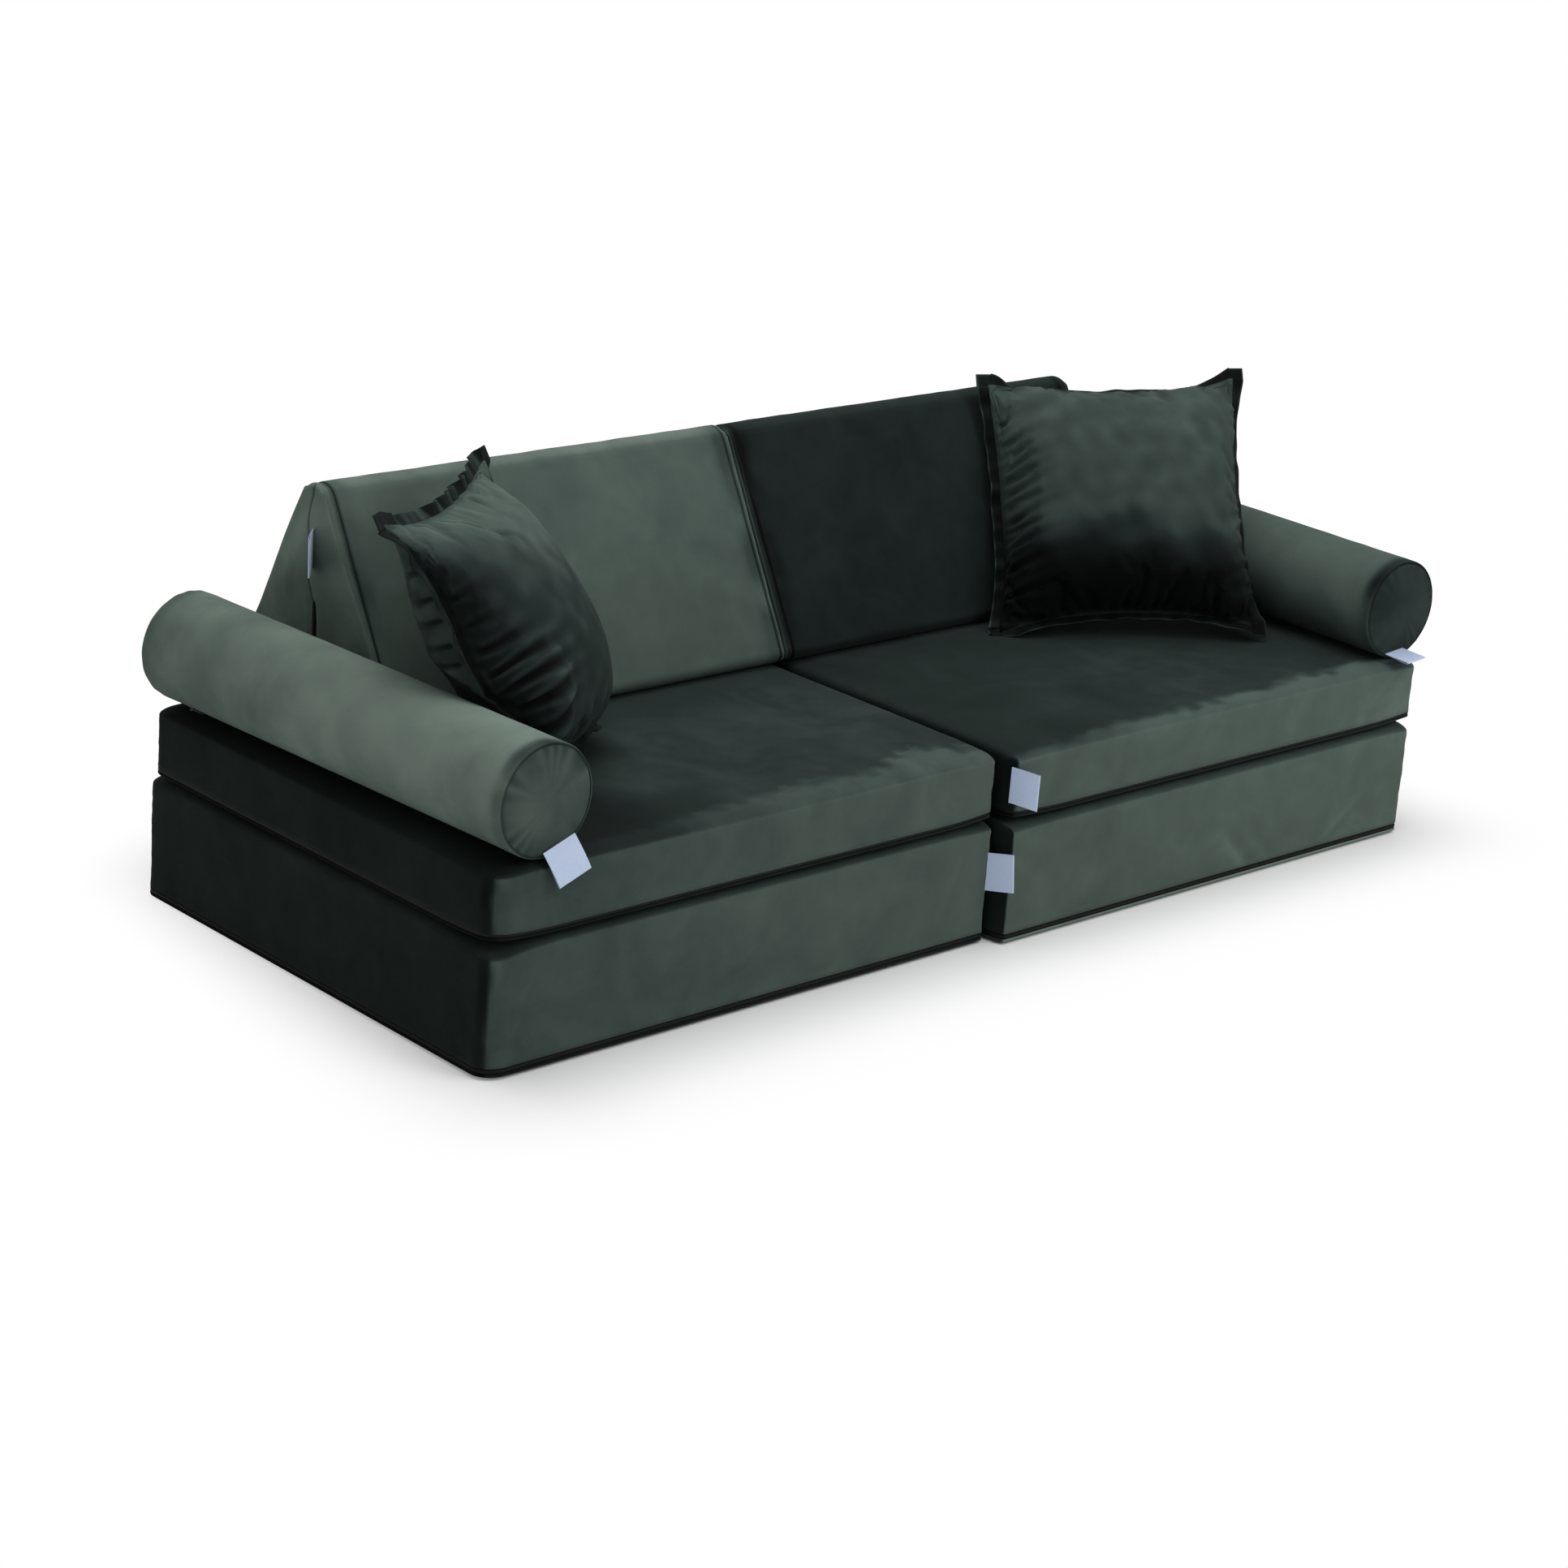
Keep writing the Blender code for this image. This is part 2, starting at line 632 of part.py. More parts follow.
def bolster_skin(side_offset, end_offset):
    radius = BOLSTER_DIAMETER / 2 - side_offset
    half = BOLSTER_LENGTH / 2 - end_offset
    edge = BOLSTER_EDGE_RADIUS - end_offset
    profile = [(-half, radius * BOLSTER_DOME_SHARE)]
    for step in range(EDGE_STEPS + 1):
        angle = math.pi / 2 * step / EDGE_STEPS
        y = -half + BOLSTER_DOME + edge * (1 - math.cos(angle))
        profile.append((y, radius - edge * (1 - math.sin(angle))))
    profile += [(-y, r) for y, r in profile[::-1]]
    turn = 2 * math.pi / BOLSTER_FACETS
    rings = []
    for y, r in profile:
        ring = []
        for k in range(BOLSTER_FACETS):
            angle = turn * (k + 0.5)
            ring.append((r * math.cos(angle), y, r * math.sin(angle)))
        rings.append(ring[::-1])
    return loft(rings)


def bolster_end(spot):
    """How far along Y the domed front end lies at a spot (x, z) on it."""
    centre_radius = BOLSTER_DIAMETER / 2 * BOLSTER_DOME_SHARE
    rim_radius = BOLSTER_DIAMETER / 2 - BOLSTER_EDGE_RADIUS
    share = (math.hypot(*spot) - centre_radius) / (rim_radius - centre_radius)
    return BOLSTER_DOME * min(max(share, 0.0), 1.0) - BOLSTER_LENGTH / 2


def make_bolster(name, hand, parent, looks):
    outer = bolster_skin(0.0, 0.0)
    inner = bolster_skin(COVER_WALL, COVER_WALL)
    core = bolster_skin(COVER_WALL + SIDE_EASE, COVER_WALL + CONTACT_GAP)
    cover = hollow(name, outer, inner, parent, looks)
    foam = make_object(name + "_foam", *core, parent, looks["foam"])
    smooth(foam)
    turn = 2 * math.pi / BOLSTER_FACETS
    angle = BOLSTER_ZIP_FACET * turn
    outward = np.array([hand * math.cos(angle), 0.0, math.sin(angle)])
    across = np.array([-math.sin(angle), 0.0, hand * math.cos(angle)])
    flat = outward * BOLSTER_DIAMETER / 2 * math.cos(turn / 2)
    reach = BOLSTER_LENGTH / 2 - BOLSTER_ZIP_MARGIN
    frames = [(flat + np.array([0.0, y, 0.0]), across, outward) for y in (reach, -reach)]
    park = reach - PARK_DISTANCE
    slider_frame = run_matrix(flat + np.array([0.0, park, 0.0]), (0, -1, 0), outward)
    make_zip(name, frames, slider_frame, BOLSTER_TRAVEL, cover, parent, looks)


# Pillow: a crowned cushion with drawn-in sides inside a flat flange, pressed by what it leans on

PILLOW_HALF = PILLOW_SIZE / 2 - FLANGE_WIDTH
FLANGE_HALF = FLANGE_THICKNESS / 2


def pillow_plane(u, v):
    """Place of (u, v) in the pillow's plane, whose body reaches from -1 to 1 and whose flange lies beyond."""
    u_body = np.clip(u, -1, 1)
    v_body = np.clip(v, -1, 1)
    draw = PILLOW_DRAW_IN / PILLOW_HALF
    draw_up = np.where(v_body < 0, BOTTOM_DRAW_SHARE * draw, draw)
    x = PILLOW_HALF * u_body * (1 - draw * (1 - v_body**2)) + FLANGE_WIDTH * (u - u_body)
    z = PILLOW_HALF * v_body * (1 - draw_up * (1 - u_body**2)) + FLANGE_WIDTH * (v - v_body)
    return x, z


def pillow_crown(u, v):
    u_body = np.clip(u, -1, 1)
    v_body = np.clip(v, -1, 1)
    return ((1 - u_body**2) * (1 - v_body**2)) ** CROWN_POWER


def pillow_sides(press):
    """Grids of surface points of the front and back panels, moved as the press moves the middle plane."""
    lines = np.concatenate([[-2.0], body_lines(), [2.0]])
    u, v = np.meshgrid(lines, lines)
    x, z = pillow_plane(u, v)
    crown = pillow_crown(u, v)
    sagged = crown * (1 - PILLOW_SAG_SHARE * np.clip(v, -1, 1))
    front = FLANGE_HALF + (PILLOW_FRONT_CROWN - FLANGE_HALF) * sagged
    back = FLANGE_HALF + (PILLOW_BACK_CROWN - FLANGE_HALF) * crown
    middle = np.stack([x, np.zeros_like(x), z], -1)
    middle = middle + press(middle, back)
    facing = np.array([0.0, 1.0, 0.0])
    return middle - front[..., None] * facing, middle + back[..., None] * facing


def drawn_in(front, back, ease, rim_share):
    """The two grids brought nearer to each other by ease on each side, and their rim moved in."""
    middle = (front + back) / 2
    half = (front - back) / 2
    length = np.linalg.norm(half, axis=-1)[..., None]
    half = half / length * np.maximum(length - ease, 0.0)
    for grid in (middle, middle.swapaxes(0, 1)):
        grid[0] += (grid[1] - grid[0]) * rim_share
        grid[-1] += (grid[-2] - grid[-1]) * rim_share
    return middle + half, middle - half


def grid_faces(rows, start, flip):
    faces = []
    for i in range(rows - 1):
        for j in range(rows - 1):
            a = start + i * rows + j
            for face in ((a, a + 1, a + rows + 1), (a, a + rows + 1, a + rows)):
                faces.append(face[::-1] if flip else face)
    return faces


def rim_loop(rows):
    """Indices round the border of a square grid."""
    last = rows - 1
    loop = [(0, j) for j in range(last)]
    loop += [(i, last) for i in range(last)]
    loop += [(last, j) for j in range(last, 0, -1)]
    loop += [(i, 0) for i in range(last, 0, -1)]
    return [i * rows + j for i, j in loop]


def body_lines():
    """Grid lines from -1 to 1, closer together towards the seams."""
    steps = np.linspace(-1, 1, PILLOW_CELLS + 1)
    return np.sin(steps * math.pi / 2)


def pillow_cover_skin(front, back):
    rows = len(front)
    count = rows * rows
    faces = grid_faces(rows, 0, False) + grid_faces(rows, count, True)
    loop = rim_loop(rows)
    for a, b in zip(loop, loop[1:] + loop[:1]):
        faces.append((b, a, a + count))
        faces.append((b, a + count, b + count))
    return facing_out(np.concatenate([front.reshape(-1, 3), back.reshape(-1, 3)]), faces)


def lens_skin(front, back):
    """A closed cushion with a sharp rim, from two grids that meet all round."""
    rows = len(front)
    count = rows * rows
    loop = set(rim_loop(rows))
    keep = [i for i in range(count) if i not in loop]
    where = {i: count + n for n, i in enumerate(keep)}
    faces = grid_faces(rows, 0, False)
    for face in grid_faces(rows, 0, True):
        faces.append(tuple(where.get(i, i) for i in face))
    points = np.concatenate([front.reshape(-1, 3), back.reshape(-1, 3)[keep]])
    return facing_out(points, faces)


def pillow_zip_frames(back):
    """Across the back panel along one of its mesh rows, a little above the bottom seam."""
    columns = slice(PILLOW_ZIP_COLUMN, -PILLOW_ZIP_COLUMN)
    below, run, above = (back[PILLOW_ZIP_ROW + k, columns] for k in (-1, 0, 1))
    along = np.gradient(run, axis=0)
    along /= np.linalg.norm(along, axis=1)[:, None]
    slopes = [(a - b) / np.linalg.norm(a - b, axis=1)[:, None] for a, b in ((above, run), (run, below))]
    outward = np.cross(slopes[0] + slopes[1], along)
    outward /= np.linalg.norm(outward, axis=1)[:, None]
    across = np.cross(along, outward)
    return [(p, a, o) for p, a, o in zip(run, across, outward)]


def softly_positive(value, softness):
    """The value where it is well above nothing, easing to nothing below it."""
    return softness * np.logaddexp(0, value / softness)


def make_press(pillow_matrix, bolster_matrix, hand, seat_top):
    """How the bolster, the backrest and the seat push the pillow's middle plane away from them."""
    turn = np.array(pillow_matrix.to_3x3())
    origin = np.array(pillow_matrix.translation)
    inward = -hand * np.array(bolster_matrix.to_3x3())[:, 0]
    upward = np.array([0.0, 0.0, 1.0])
    bolster_centre = np.array(bolster_matrix.translation)
    lean = wedge_corners()[2][3]
    face_normal = np.array([0.0, math.cos(lean), math.sin(lean)])
    ridge_height = seat_top + WEDGE_HEIGHT - RIDGE_RADIUS
    ridge = np.array([0.0, WEDGE_SETBACK + WEDGE_DEPTH / 2 - BASE_DEPTH / 2, ridge_height])

    def press(points, thickness):
        start = points @ turn.T + origin
        world = start.copy()
        for softness in PRESS_SOFTNESSES:
            off = world - bolster_centre
            side = off @ inward
            rise = off @ upward
            slant = np.arctan2(np.maximum(rise, 0.0), np.maximum(side + BOLSTER_PRESS_REACH, CONTACT_GAP))
            along = side * np.cos(slant) + rise * np.sin(slant)
            beside = rise * np.cos(slant) - side * np.sin(slant)
            radius = BOLSTER_DIAMETER / 2 + BOLSTER_PRESS_GAP + thickness
            need = np.sqrt(np.maximum(radius**2 - beside**2, 0.0)) - along
            push = np.where(abs(beside) < radius, softly_positive(need, softness), 0.0)[..., None]
            world = world + push * (np.cos(slant)[..., None] * inward + np.sin(slant)[..., None] * upward)
            height = (world - ridge) @ face_normal - RIDGE_RADIUS - WEDGE_CROWN
            need = 2 * CONTACT_GAP + thickness - height
            below = world[..., 2] < ridge_height + RIDGE_RADIUS + thickness
            push = np.where(below, softly_positive(need, softness), 0.0)[..., None]
            world = world + push * face_normal
            need = seat_top + CONTACT_GAP + thickness * abs(turn[2, 1]) - world[..., 2]
            world[..., 2] += softly_positive(need, min(softness, SEAT_PRESS_SOFTNESS))
        return (world - start) @ turn

    return press


def make_pillow(name, hand, frame, bolster_frame, seat_top, looks):
    press = make_press(local_matrix(frame), local_matrix(bolster_frame), hand, seat_top)
    front, back = pillow_sides(press)
    body = (front[1:-1, 1:-1], back[1:-1, 1:-1])
    room = lens_skin(*drawn_in(*body, COVER_WALL, ROOM_RIM_SHARE))
    fill = lens_skin(*drawn_in(*body, COVER_WALL + PILLOW_FILL_EASE, FILL_RIM_SHARE))
    cover = hollow(name, pillow_cover_skin(front, back), room, frame, looks)
    filling = make_object(name + "_filling", *fill, frame, looks["filling"])
    smooth(filling)
    frames = pillow_zip_frames(back[1:-1, 1:-1])[::hand]
    start, _, outward = frames[0]
    along = frames[1][0] - start
    along /= np.linalg.norm(along)
    outward = outward - (outward @ along) * along
    slider_frame = run_matrix(start + along * PARK_DISTANCE, along, outward)
    make_zip(name, frames, slider_frame, PILLOW_TRAVEL, cover, frame, looks)


def local_matrix(frame):
    """Where a module's frame stands in the sofa's frame."""
    return Matrix.LocRotScale(frame.location, frame.rotation_euler, None)


# Labels


def make_label(name, place, along, edge, bend, parent, looks):
    """A folded ribbon that starts at place, runs along, and is as wide as the seam edge it is sewn in."""
    leaves = []
    for offset in (LABEL_THICKNESS, 0.0):
        reach = LABEL_LENGTH + offset - LABEL_THICKNESS
        for side in (1, -1):
            leaf = []
            for step in range(LABEL_STEPS + 1):
                share = step / LABEL_STEPS
                opening = LABEL_SEAM_OPENING + (LABEL_OPENING - LABEL_SEAM_OPENING) * share
                y = bend * share**2 + side * (opening / 2 + offset)
                leaf.append((reach * share, y))
            leaves.append(leaf)
    outer_up, outer_down, inner_up, inner_down = leaves
    outline = outer_down + outer_up[::-1] + inner_up + inner_down[::-1]
    rings = [[(x, y, z) for x, y in outline] for z in (-LABEL_WIDTH / 2, LABEL_WIDTH / 2)]
    label = make_object(name, *loft(rings), parent, looks["label_ribbon"])
    x, z = label_axes(along, edge)
    matrix = Matrix((x, z.cross(x), z)).transposed().to_4x4()
    matrix.translation = Vector(place)
    label.matrix_local = matrix


def label_axes(along, edge):
    """Unit vectors along the ribbon and across its width, square to each other."""
    x = Vector(along).normalized()
    across = Vector(edge)
    return x, (across - across.dot(x) * x).normalized()


def corner_label_place(hand, depth, height, seam_turn, turn):
    """A spot on the rounded front corner that faces the other half, seam_turn round from the front.

    A ribbon that leaves at a slant starts a little further out, so that its thickness clears the corner.
    """
    centre = Vector((-hand * (MODULE_LENGTH / 2 - CORNER_RADIUS), CORNER_RADIUS - depth / 2, height))
    outward = Vector((-hand * math.sin(seam_turn), -math.cos(seam_turn), 0))
    slant = math.sin(outward.angle(Vector((math.cos(turn), math.sin(turn), 0))))
    butt = (LABEL_THICKNESS + LABEL_SEAM_OPENING / 2) * slant
    return centre + outward * (CORNER_RADIUS + CONTACT_GAP + butt)


def bolster_label_place(spot, along, edge):
    """The spot (x, z) on a bolster's front end, as far forward as the label's straight edge needs."""
    half = label_axes(along, edge)[1] * (LABEL_WIDTH / 2)
    reaches = []
    for side in (-1, 0, 1):
        beside = (spot[0] + side * half.x, spot[1] + side * half.z)
        reaches.append(bolster_end(beside) - side * half.y)
    return (spot[0], min(reaches) - CONTACT_GAP - LABEL_THICKNESS, spot[1])


def make_labels(frames, looks):
    upright = (0, 0, 1)
    wedge_end = (-WEDGE_LENGTH / 2 - CONTACT_GAP - LABEL_THICKNESS, 0, WEDGE_LABEL_HEIGHT)
    base_corner = corner_label_place(
        -1, BASE_DEPTH, BASE_LABEL_HEIGHT, BASE_LABEL_SEAM_TURN, BASE_LABEL_TURN
    )
    seat_corner = corner_label_place(
        1, SEAT_DEPTH, SEAT_LABEL_HEIGHT, SEAT_LABEL_SEAM_TURN, SEAT_LABEL_TURN
    )
    for name, place, turn, bend in (
        ("base_left", base_corner, BASE_LABEL_TURN, BASE_LABEL_BEND),
        ("seat_right", seat_corner, SEAT_LABEL_TURN, SEAT_LABEL_BEND),
        ("back_left", wedge_end, WEDGE_LABEL_TURN, 0.0),
    ):
        along = (math.cos(turn), math.sin(turn), 0)
        make_label("label_" + name, place, along, upright, bend, frames[name], looks)
    for name, spot, along, edge in (
        ("bolster_left", LEFT_BOLSTER_LABEL_PLACE, LEFT_BOLSTER_LABEL_ALONG, LEFT_BOLSTER_LABEL_EDGE),
        ("bolster_right", RIGHT_BOLSTER_LABEL_PLACE, RIGHT_BOLSTER_LABEL_ALONG, RIGHT_BOLSTER_LABEL_EDGE),
    ):
        place = bolster_label_place(spot, along, edge)
        make_label("label_" + name, place, along, edge, 0.0, frames[name], looks)


# Assembly


def make_looks():
    looks = {name: make_material(name, *values) for name, values in LOOKS.items()}
    looks["slider_mesh"] = make_slider_mesh(looks["zip_metal"])
    looks["pull_mesh"] = make_pull_mesh(looks["zip_metal"])
    return looks


def make_frames(root):
    """One empty for each loose module, at the middle of its underside, on a bolster or pillow at its centre.

    A pillow stands in from its bolster, ahead of the backrest's foot and up from the seat by shares of its size.
    """
    side = (MODULE_GAP + MODULE_LENGTH) / 2
    seat_low = BASE_HEIGHT + CONTACT_GAP
    seat_top = seat_low + SEAT_HEIGHT
    on_seat = seat_top + CONTACT_GAP
    front = -BASE_DEPTH / 2
    seat_y = front + SEAT_DEPTH / 2
    wedge_side = (MODULE_GAP + WEDGE_LENGTH) / 2
    wedge_y = front + WEDGE_SETBACK + WEDGE_DEPTH / 2
    bolster_y = front + BOLSTER_SETBACK + BOLSTER_LENGTH / 2
    bolster_z = on_seat + BOLSTER_DIAMETER / 2 * math.cos(math.pi / BOLSTER_FACETS)
    end = MODULE_GAP / 2 + MODULE_LENGTH
    shift = RIGHT_SEAT_BACK - RIGHT_BASE_FORWARD
    places = {
        "base_left": ((-side, 0, 0), (0, 0, 0)),
        "base_right": ((side + RIGHT_BASE_ASIDE, -RIGHT_BASE_FORWARD, 0), (0, 0, 0)),
        "seat_left": ((-side, seat_y, seat_low), (0, 0, 0)),
        "seat_right": ((side + RIGHT_SEAT_ASIDE, seat_y + shift, seat_low), (0, 0, 0)),
        "back_left": ((-wedge_side, wedge_y, on_seat), (0, 0, 0)),
        "back_right": ((wedge_side, wedge_y, on_seat), (0, 0, 0)),
        "bolster_left": ((LEFT_BOLSTER_INSET - end, bolster_y, bolster_z), (0, 0, LEFT_BOLSTER_YAW)),
    }
    right_bolster = (end - RIGHT_BOLSTER_INSET, bolster_y, bolster_z - RIGHT_BOLSTER_SINK)
    places["bolster_right"] = (right_bolster, (0, 0, RIGHT_BOLSTER_YAW))
    for side, shares, turn in (
        ("left", LEFT_PILLOW_SHARES, LEFT_PILLOW_TURN),
        ("right", RIGHT_PILLOW_SHARES, RIGHT_PILLOW_TURN),
    ):
        aside, ahead, rise = (PILLOW_SIZE * share for share in shares)
        bolster_x = places["bolster_" + side][0][0]
        x = bolster_x - math.copysign(BOLSTER_DIAMETER / 2 + aside, bolster_x)
        places["pillow_" + side] = ((x, front + WEDGE_SETBACK - ahead, seat_top + rise), turn)
    return {name: make_frame(name, root, place, turn) for name, (place, turn) in places.items()}


def centre_on_floor(root):
    """Moves the whole sofa so that the middle of its footprint is at the origin."""
    bpy.context.view_layer.update()
    graph = bpy.context.evaluated_depsgraph_get()
    corners = []
    for piece in bpy.data.objects:
        if piece.type == "MESH" and not piece.hide_render:
            shape = piece.evaluated_get(graph)
            corners += [shape.matrix_world @ Vector(corner) for corner in shape.bound_box]
    corners = np.array(corners)
    low = corners.min(axis=0)
    high = corners.max(axis=0)
    root.location = (-(low[0] + high[0]) / 2, -(low[1] + high[1]) / 2, -low[2])


def main():
    clear_scene()
    looks = make_looks()
    root = make_frame("sofa", None)
    frames = make_frames(root)
    seat_top = BASE_HEIGHT + CONTACT_GAP + SEAT_HEIGHT
    for side, hand in (("left", -1), ("right", 1)):
        make_mattress(
            "base_" + side, BASE_DEPTH, BASE_HEIGHT, BASE_ZIP_HEIGHT, hand, frames["base_" + side], looks
        )
        make_mattress(
            "seat_" + side, SEAT_DEPTH, SEAT_HEIGHT, SEAT_ZIP_HEIGHT, hand, frames["seat_" + side], looks
        )
        make_wedge("back_" + side, hand, frames["back_" + side], looks)
        make_bolster("bolster_" + side, hand, frames["bolster_" + side], looks)
        make_pillow(
            "pillow_" + side, hand, frames["pillow_" + side], frames["bolster_" + side], seat_top, looks
        )
    make_labels(frames, looks)
    centre_on_floor(root)


main()
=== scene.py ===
"""Modular foam play sofa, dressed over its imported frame.

Ten loose foam pieces wear zipped velvet covers: two base mattresses, two seats, two wedge backrests, two
bolsters and two flanged pillows. Each cover is a fine surface worked out from the box of its CAD node.
X runs along the sofa, the front faces -Y, Z is up, and lengths are in metres.
"""

import math

import bmesh
import bpy
import numpy as np
from mathutils import Matrix, Vector


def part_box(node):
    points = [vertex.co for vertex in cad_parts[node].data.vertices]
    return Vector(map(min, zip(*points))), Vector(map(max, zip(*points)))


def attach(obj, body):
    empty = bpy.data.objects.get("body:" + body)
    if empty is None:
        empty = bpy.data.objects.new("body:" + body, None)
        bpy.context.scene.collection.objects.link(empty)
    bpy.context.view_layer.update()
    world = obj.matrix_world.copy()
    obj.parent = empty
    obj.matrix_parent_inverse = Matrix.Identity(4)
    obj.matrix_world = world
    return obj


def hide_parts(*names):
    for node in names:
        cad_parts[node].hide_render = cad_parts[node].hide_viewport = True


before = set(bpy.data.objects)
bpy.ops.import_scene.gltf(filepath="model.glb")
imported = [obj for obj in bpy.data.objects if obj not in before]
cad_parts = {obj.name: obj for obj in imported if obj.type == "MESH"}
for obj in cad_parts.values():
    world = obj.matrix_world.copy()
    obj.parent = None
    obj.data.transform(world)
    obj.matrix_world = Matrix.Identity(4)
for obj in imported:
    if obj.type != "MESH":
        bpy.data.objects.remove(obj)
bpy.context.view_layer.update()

MM = 0.001
TURN = 2 * math.pi
HANDS = {"left": -1, "right": 1}

# Camera, as the photograph's lines of sight have it
CAMERA_AZIMUTH = math.radians(-44.08)
CAMERA_ELEVATION = math.radians(19.34)
CAMERA_ROLL = math.radians(4.61)
CAMERA_DISTANCE = 5.9688
CAMERA_AIM = (-0.0719, 0.0048, 0.1363)
CAMERA_LENS = 84.8
SENSOR_WIDTH = 36.0

# Grid fineness
STEP = 9 * MM
ROUND_STEPS = 5

# Mattresses
OUTER_AND_INNER_ROUNDS = {
    "base_left": (38 * MM, 10 * MM),
    "base_right": (16 * MM, 10 * MM),
    "seat_left": (38 * MM, 22 * MM),
    "seat_right": (16 * MM, 16 * MM),
}
CORNER_REACH = 60 * MM
PULL_HEIGHT = 1.3 * MM
FOLD_DEPTH = 1.3 * MM
FRONT_ROUND = 32 * MM
TOP_EDGE = 14 * MM
BOTTOM_EDGE = 6 * MM
CORNER_FALL = 3 * MM
FRONT_BELLY = 3.1 * MM
END_BELLY = 1.1 * MM
TOP_ROLL = 2.5 * MM
TOP_ROLL_WIDTH = 90 * MM
BASE_ZIP_HEIGHT = 12.5 * MM
SEAT_ZIP_HEIGHT = 11.5 * MM
LIP_DROP = 3.4 * MM
ZIP_SETBACK = 45 * MM
ZIP_INNER_RUN = 30 * MM

# Wedges
RIDGE_RADIUS = 34 * MM
FOOT_RADIUS = 18 * MM
WEDGE_END_RADIUS = 9 * MM
WEDGE_CROWN = 10 * MM
WEDGE_SEAM_DEPTH = 2.2 * MM
WEDGE_SEAM_INSET = 2.4 * MM
WEDGE_ZIP_TOP = 166 * MM

# Bolsters
BOLSTER_RADIUS = 85 * MM
BOLSTER_EDGE = 3.5 * MM
BOLSTER_DOME = 5 * MM
PLEAT_DEPTH = 2.6 * MM
PLEATS = 17
RING_SEAM_DEPTH = 2.0 * MM
BOLSTER_YAWS = {"left": math.radians(2.3), "right": math.radians(-1.4)}
BOLSTER_LENGTH = 832 * MM
BOLSTER_ZIP_FALL = math.radians(60)
BOLSTER_ZIP_MARGIN = 60 * MM

# Pillows
BASE_DEPTH = 850 * MM
WEDGE_SETBACK = 494 * MM
PILLOW_SIZE = 474 * MM
PILLOW_FRONT_CROWN = 120 * MM
PILLOW_BACK_CROWN = 56 * MM
PILLOW_SAG_SHARE = 0.3
FLANGE_WIDTH = 26 * MM
FLANGE_THICKNESS = 3.4 * MM
FLANGE_LAP = 0.25 * FLANGE_WIDTH
PILLOW_DRAW_IN = 8 * MM
CURL_REACH = 0.5
WRINKLE_HEIGHT = 6 * MM
PUCKER_HEIGHT = 5 * MM
SLACK_HEIGHT = 2 * MM
FLANGE_WAVE = 6 * MM
CROWN_POWER = 0.55
PILLOW_CELLS = 10
PILLOW_ZIP_ROW = 2
PILLOW_ZIP_COLUMN = 3
PRESS_SOFTNESSES = (6 * MM, 2 * MM, 0.5 * MM, 0.1 * MM, 0.1 * MM, 0.1 * MM)
SEAT_PRESS_SOFTNESS = 0.1 * MM
BOLSTER_PRESS_GAP = 7 * MM
BOLSTER_PRESS_REACH = 60 * MM
CONTACT_GAP = 0.3 * MM
PILLOW_SHARES = {"left": (0.228, 0.274, 0.426), "right": (0.416, 0.158, 0.419)}
PILLOW_TURNS = {
    "left": tuple(math.radians(a) for a in (-26.4, 1.0, 33.5)),
    "right": tuple(math.radians(a) for a in (-34.0, -2.6, -35.0)),
}

# Cloth
CLOTH_FRAMES = 20
CLOTH_BENDING = 0.4
CLOTH_GROWTH = 0.05
CLOTH_PRESSURE = 5.0
CLOTH_REACH = 14 * MM

# Zips
SLOT_HALF = 4.5 * MM
LIP = 0.4 * MM
SLOT_DEPTH = 3.2 * MM
ZIP_BLEND = 12 * MM
BOLSTER_ZIP_BLEND = 14 * MM
PILLOW_ZIP_BLEND = 16 * MM
TAPE_HALF = 4.2 * MM
TAPE_SINK = 1.0 * MM
TAPE_THICKNESS = 0.9 * MM
TOOTH_HALF = 2.2 * MM
TOOTH_CREST = 1.2 * MM
TOOTH_HEIGHT = 0.7 * MM
TOOTH_PITCH = 2.4 * MM
TOOTH_LENGTH = 1.7 * MM


def aim_camera():
    """The camera stands off its aim by azimuth and elevation and is rolled a little about its line of sight."""
    camera = bpy.data.objects.new("camera", bpy.data.cameras.new("camera"))
    bpy.context.scene.collection.objects.link(camera)
    flat = math.cos(CAMERA_ELEVATION)
    back = Vector((math.sin(CAMERA_AZIMUTH) * flat, -math.cos(CAMERA_AZIMUTH) * flat, math.sin(CAMERA_ELEVATION)))
    right = Vector((0, 0, 1)).cross(back).normalized()
    look = Matrix((right, back.cross(right), back)).transposed().to_4x4()
    place = Matrix.Translation(Vector(CAMERA_AIM) + back * CAMERA_DISTANCE)
    camera.matrix_world = place @ look @ Matrix.Rotation(CAMERA_ROLL, 4, "Z")
    camera.data.lens = CAMERA_LENS
    camera.data.sensor_width = SENSOR_WIDTH
    bpy.context.scene.camera = camera


aim_camera()


# Shapes on grids


def drift(points, wavelength, seed, waves=14):
    """Soft unevenness of about -1 to 1: a sum of sine waves, each with its own direction, length and phase."""
    points = np.asarray(points)
    draw = np.random.default_rng(seed)
    directions = draw.normal(size=(waves, points.shape[-1]))
    directions /= np.linalg.norm(directions, axis=1)[:, None]
    lengths = wavelength * draw.uniform(0.7, 1.6, waves)
    phases = draw.uniform(0, TURN, waves)
    turns = points @ (directions / lengths[:, None]).T * TURN + phases
    return np.sin(turns).sum(-1) / math.sqrt(waves / 2) / 2


def ease(value, low, high):
    """0 below low, 1 above high, and a smooth S between."""
    share = np.clip((value - low) / (high - low), 0, 1)
    return share * share * (3 - 2 * share)


def between(ends, share):
    """From the first end to the second by the share."""
    return ends[0] + (ends[1] - ends[0]) * share


def bump(value, centre, width):
    """A bell of height 1 about the centre."""
    return np.exp(-(((value - centre) / width) ** 2))


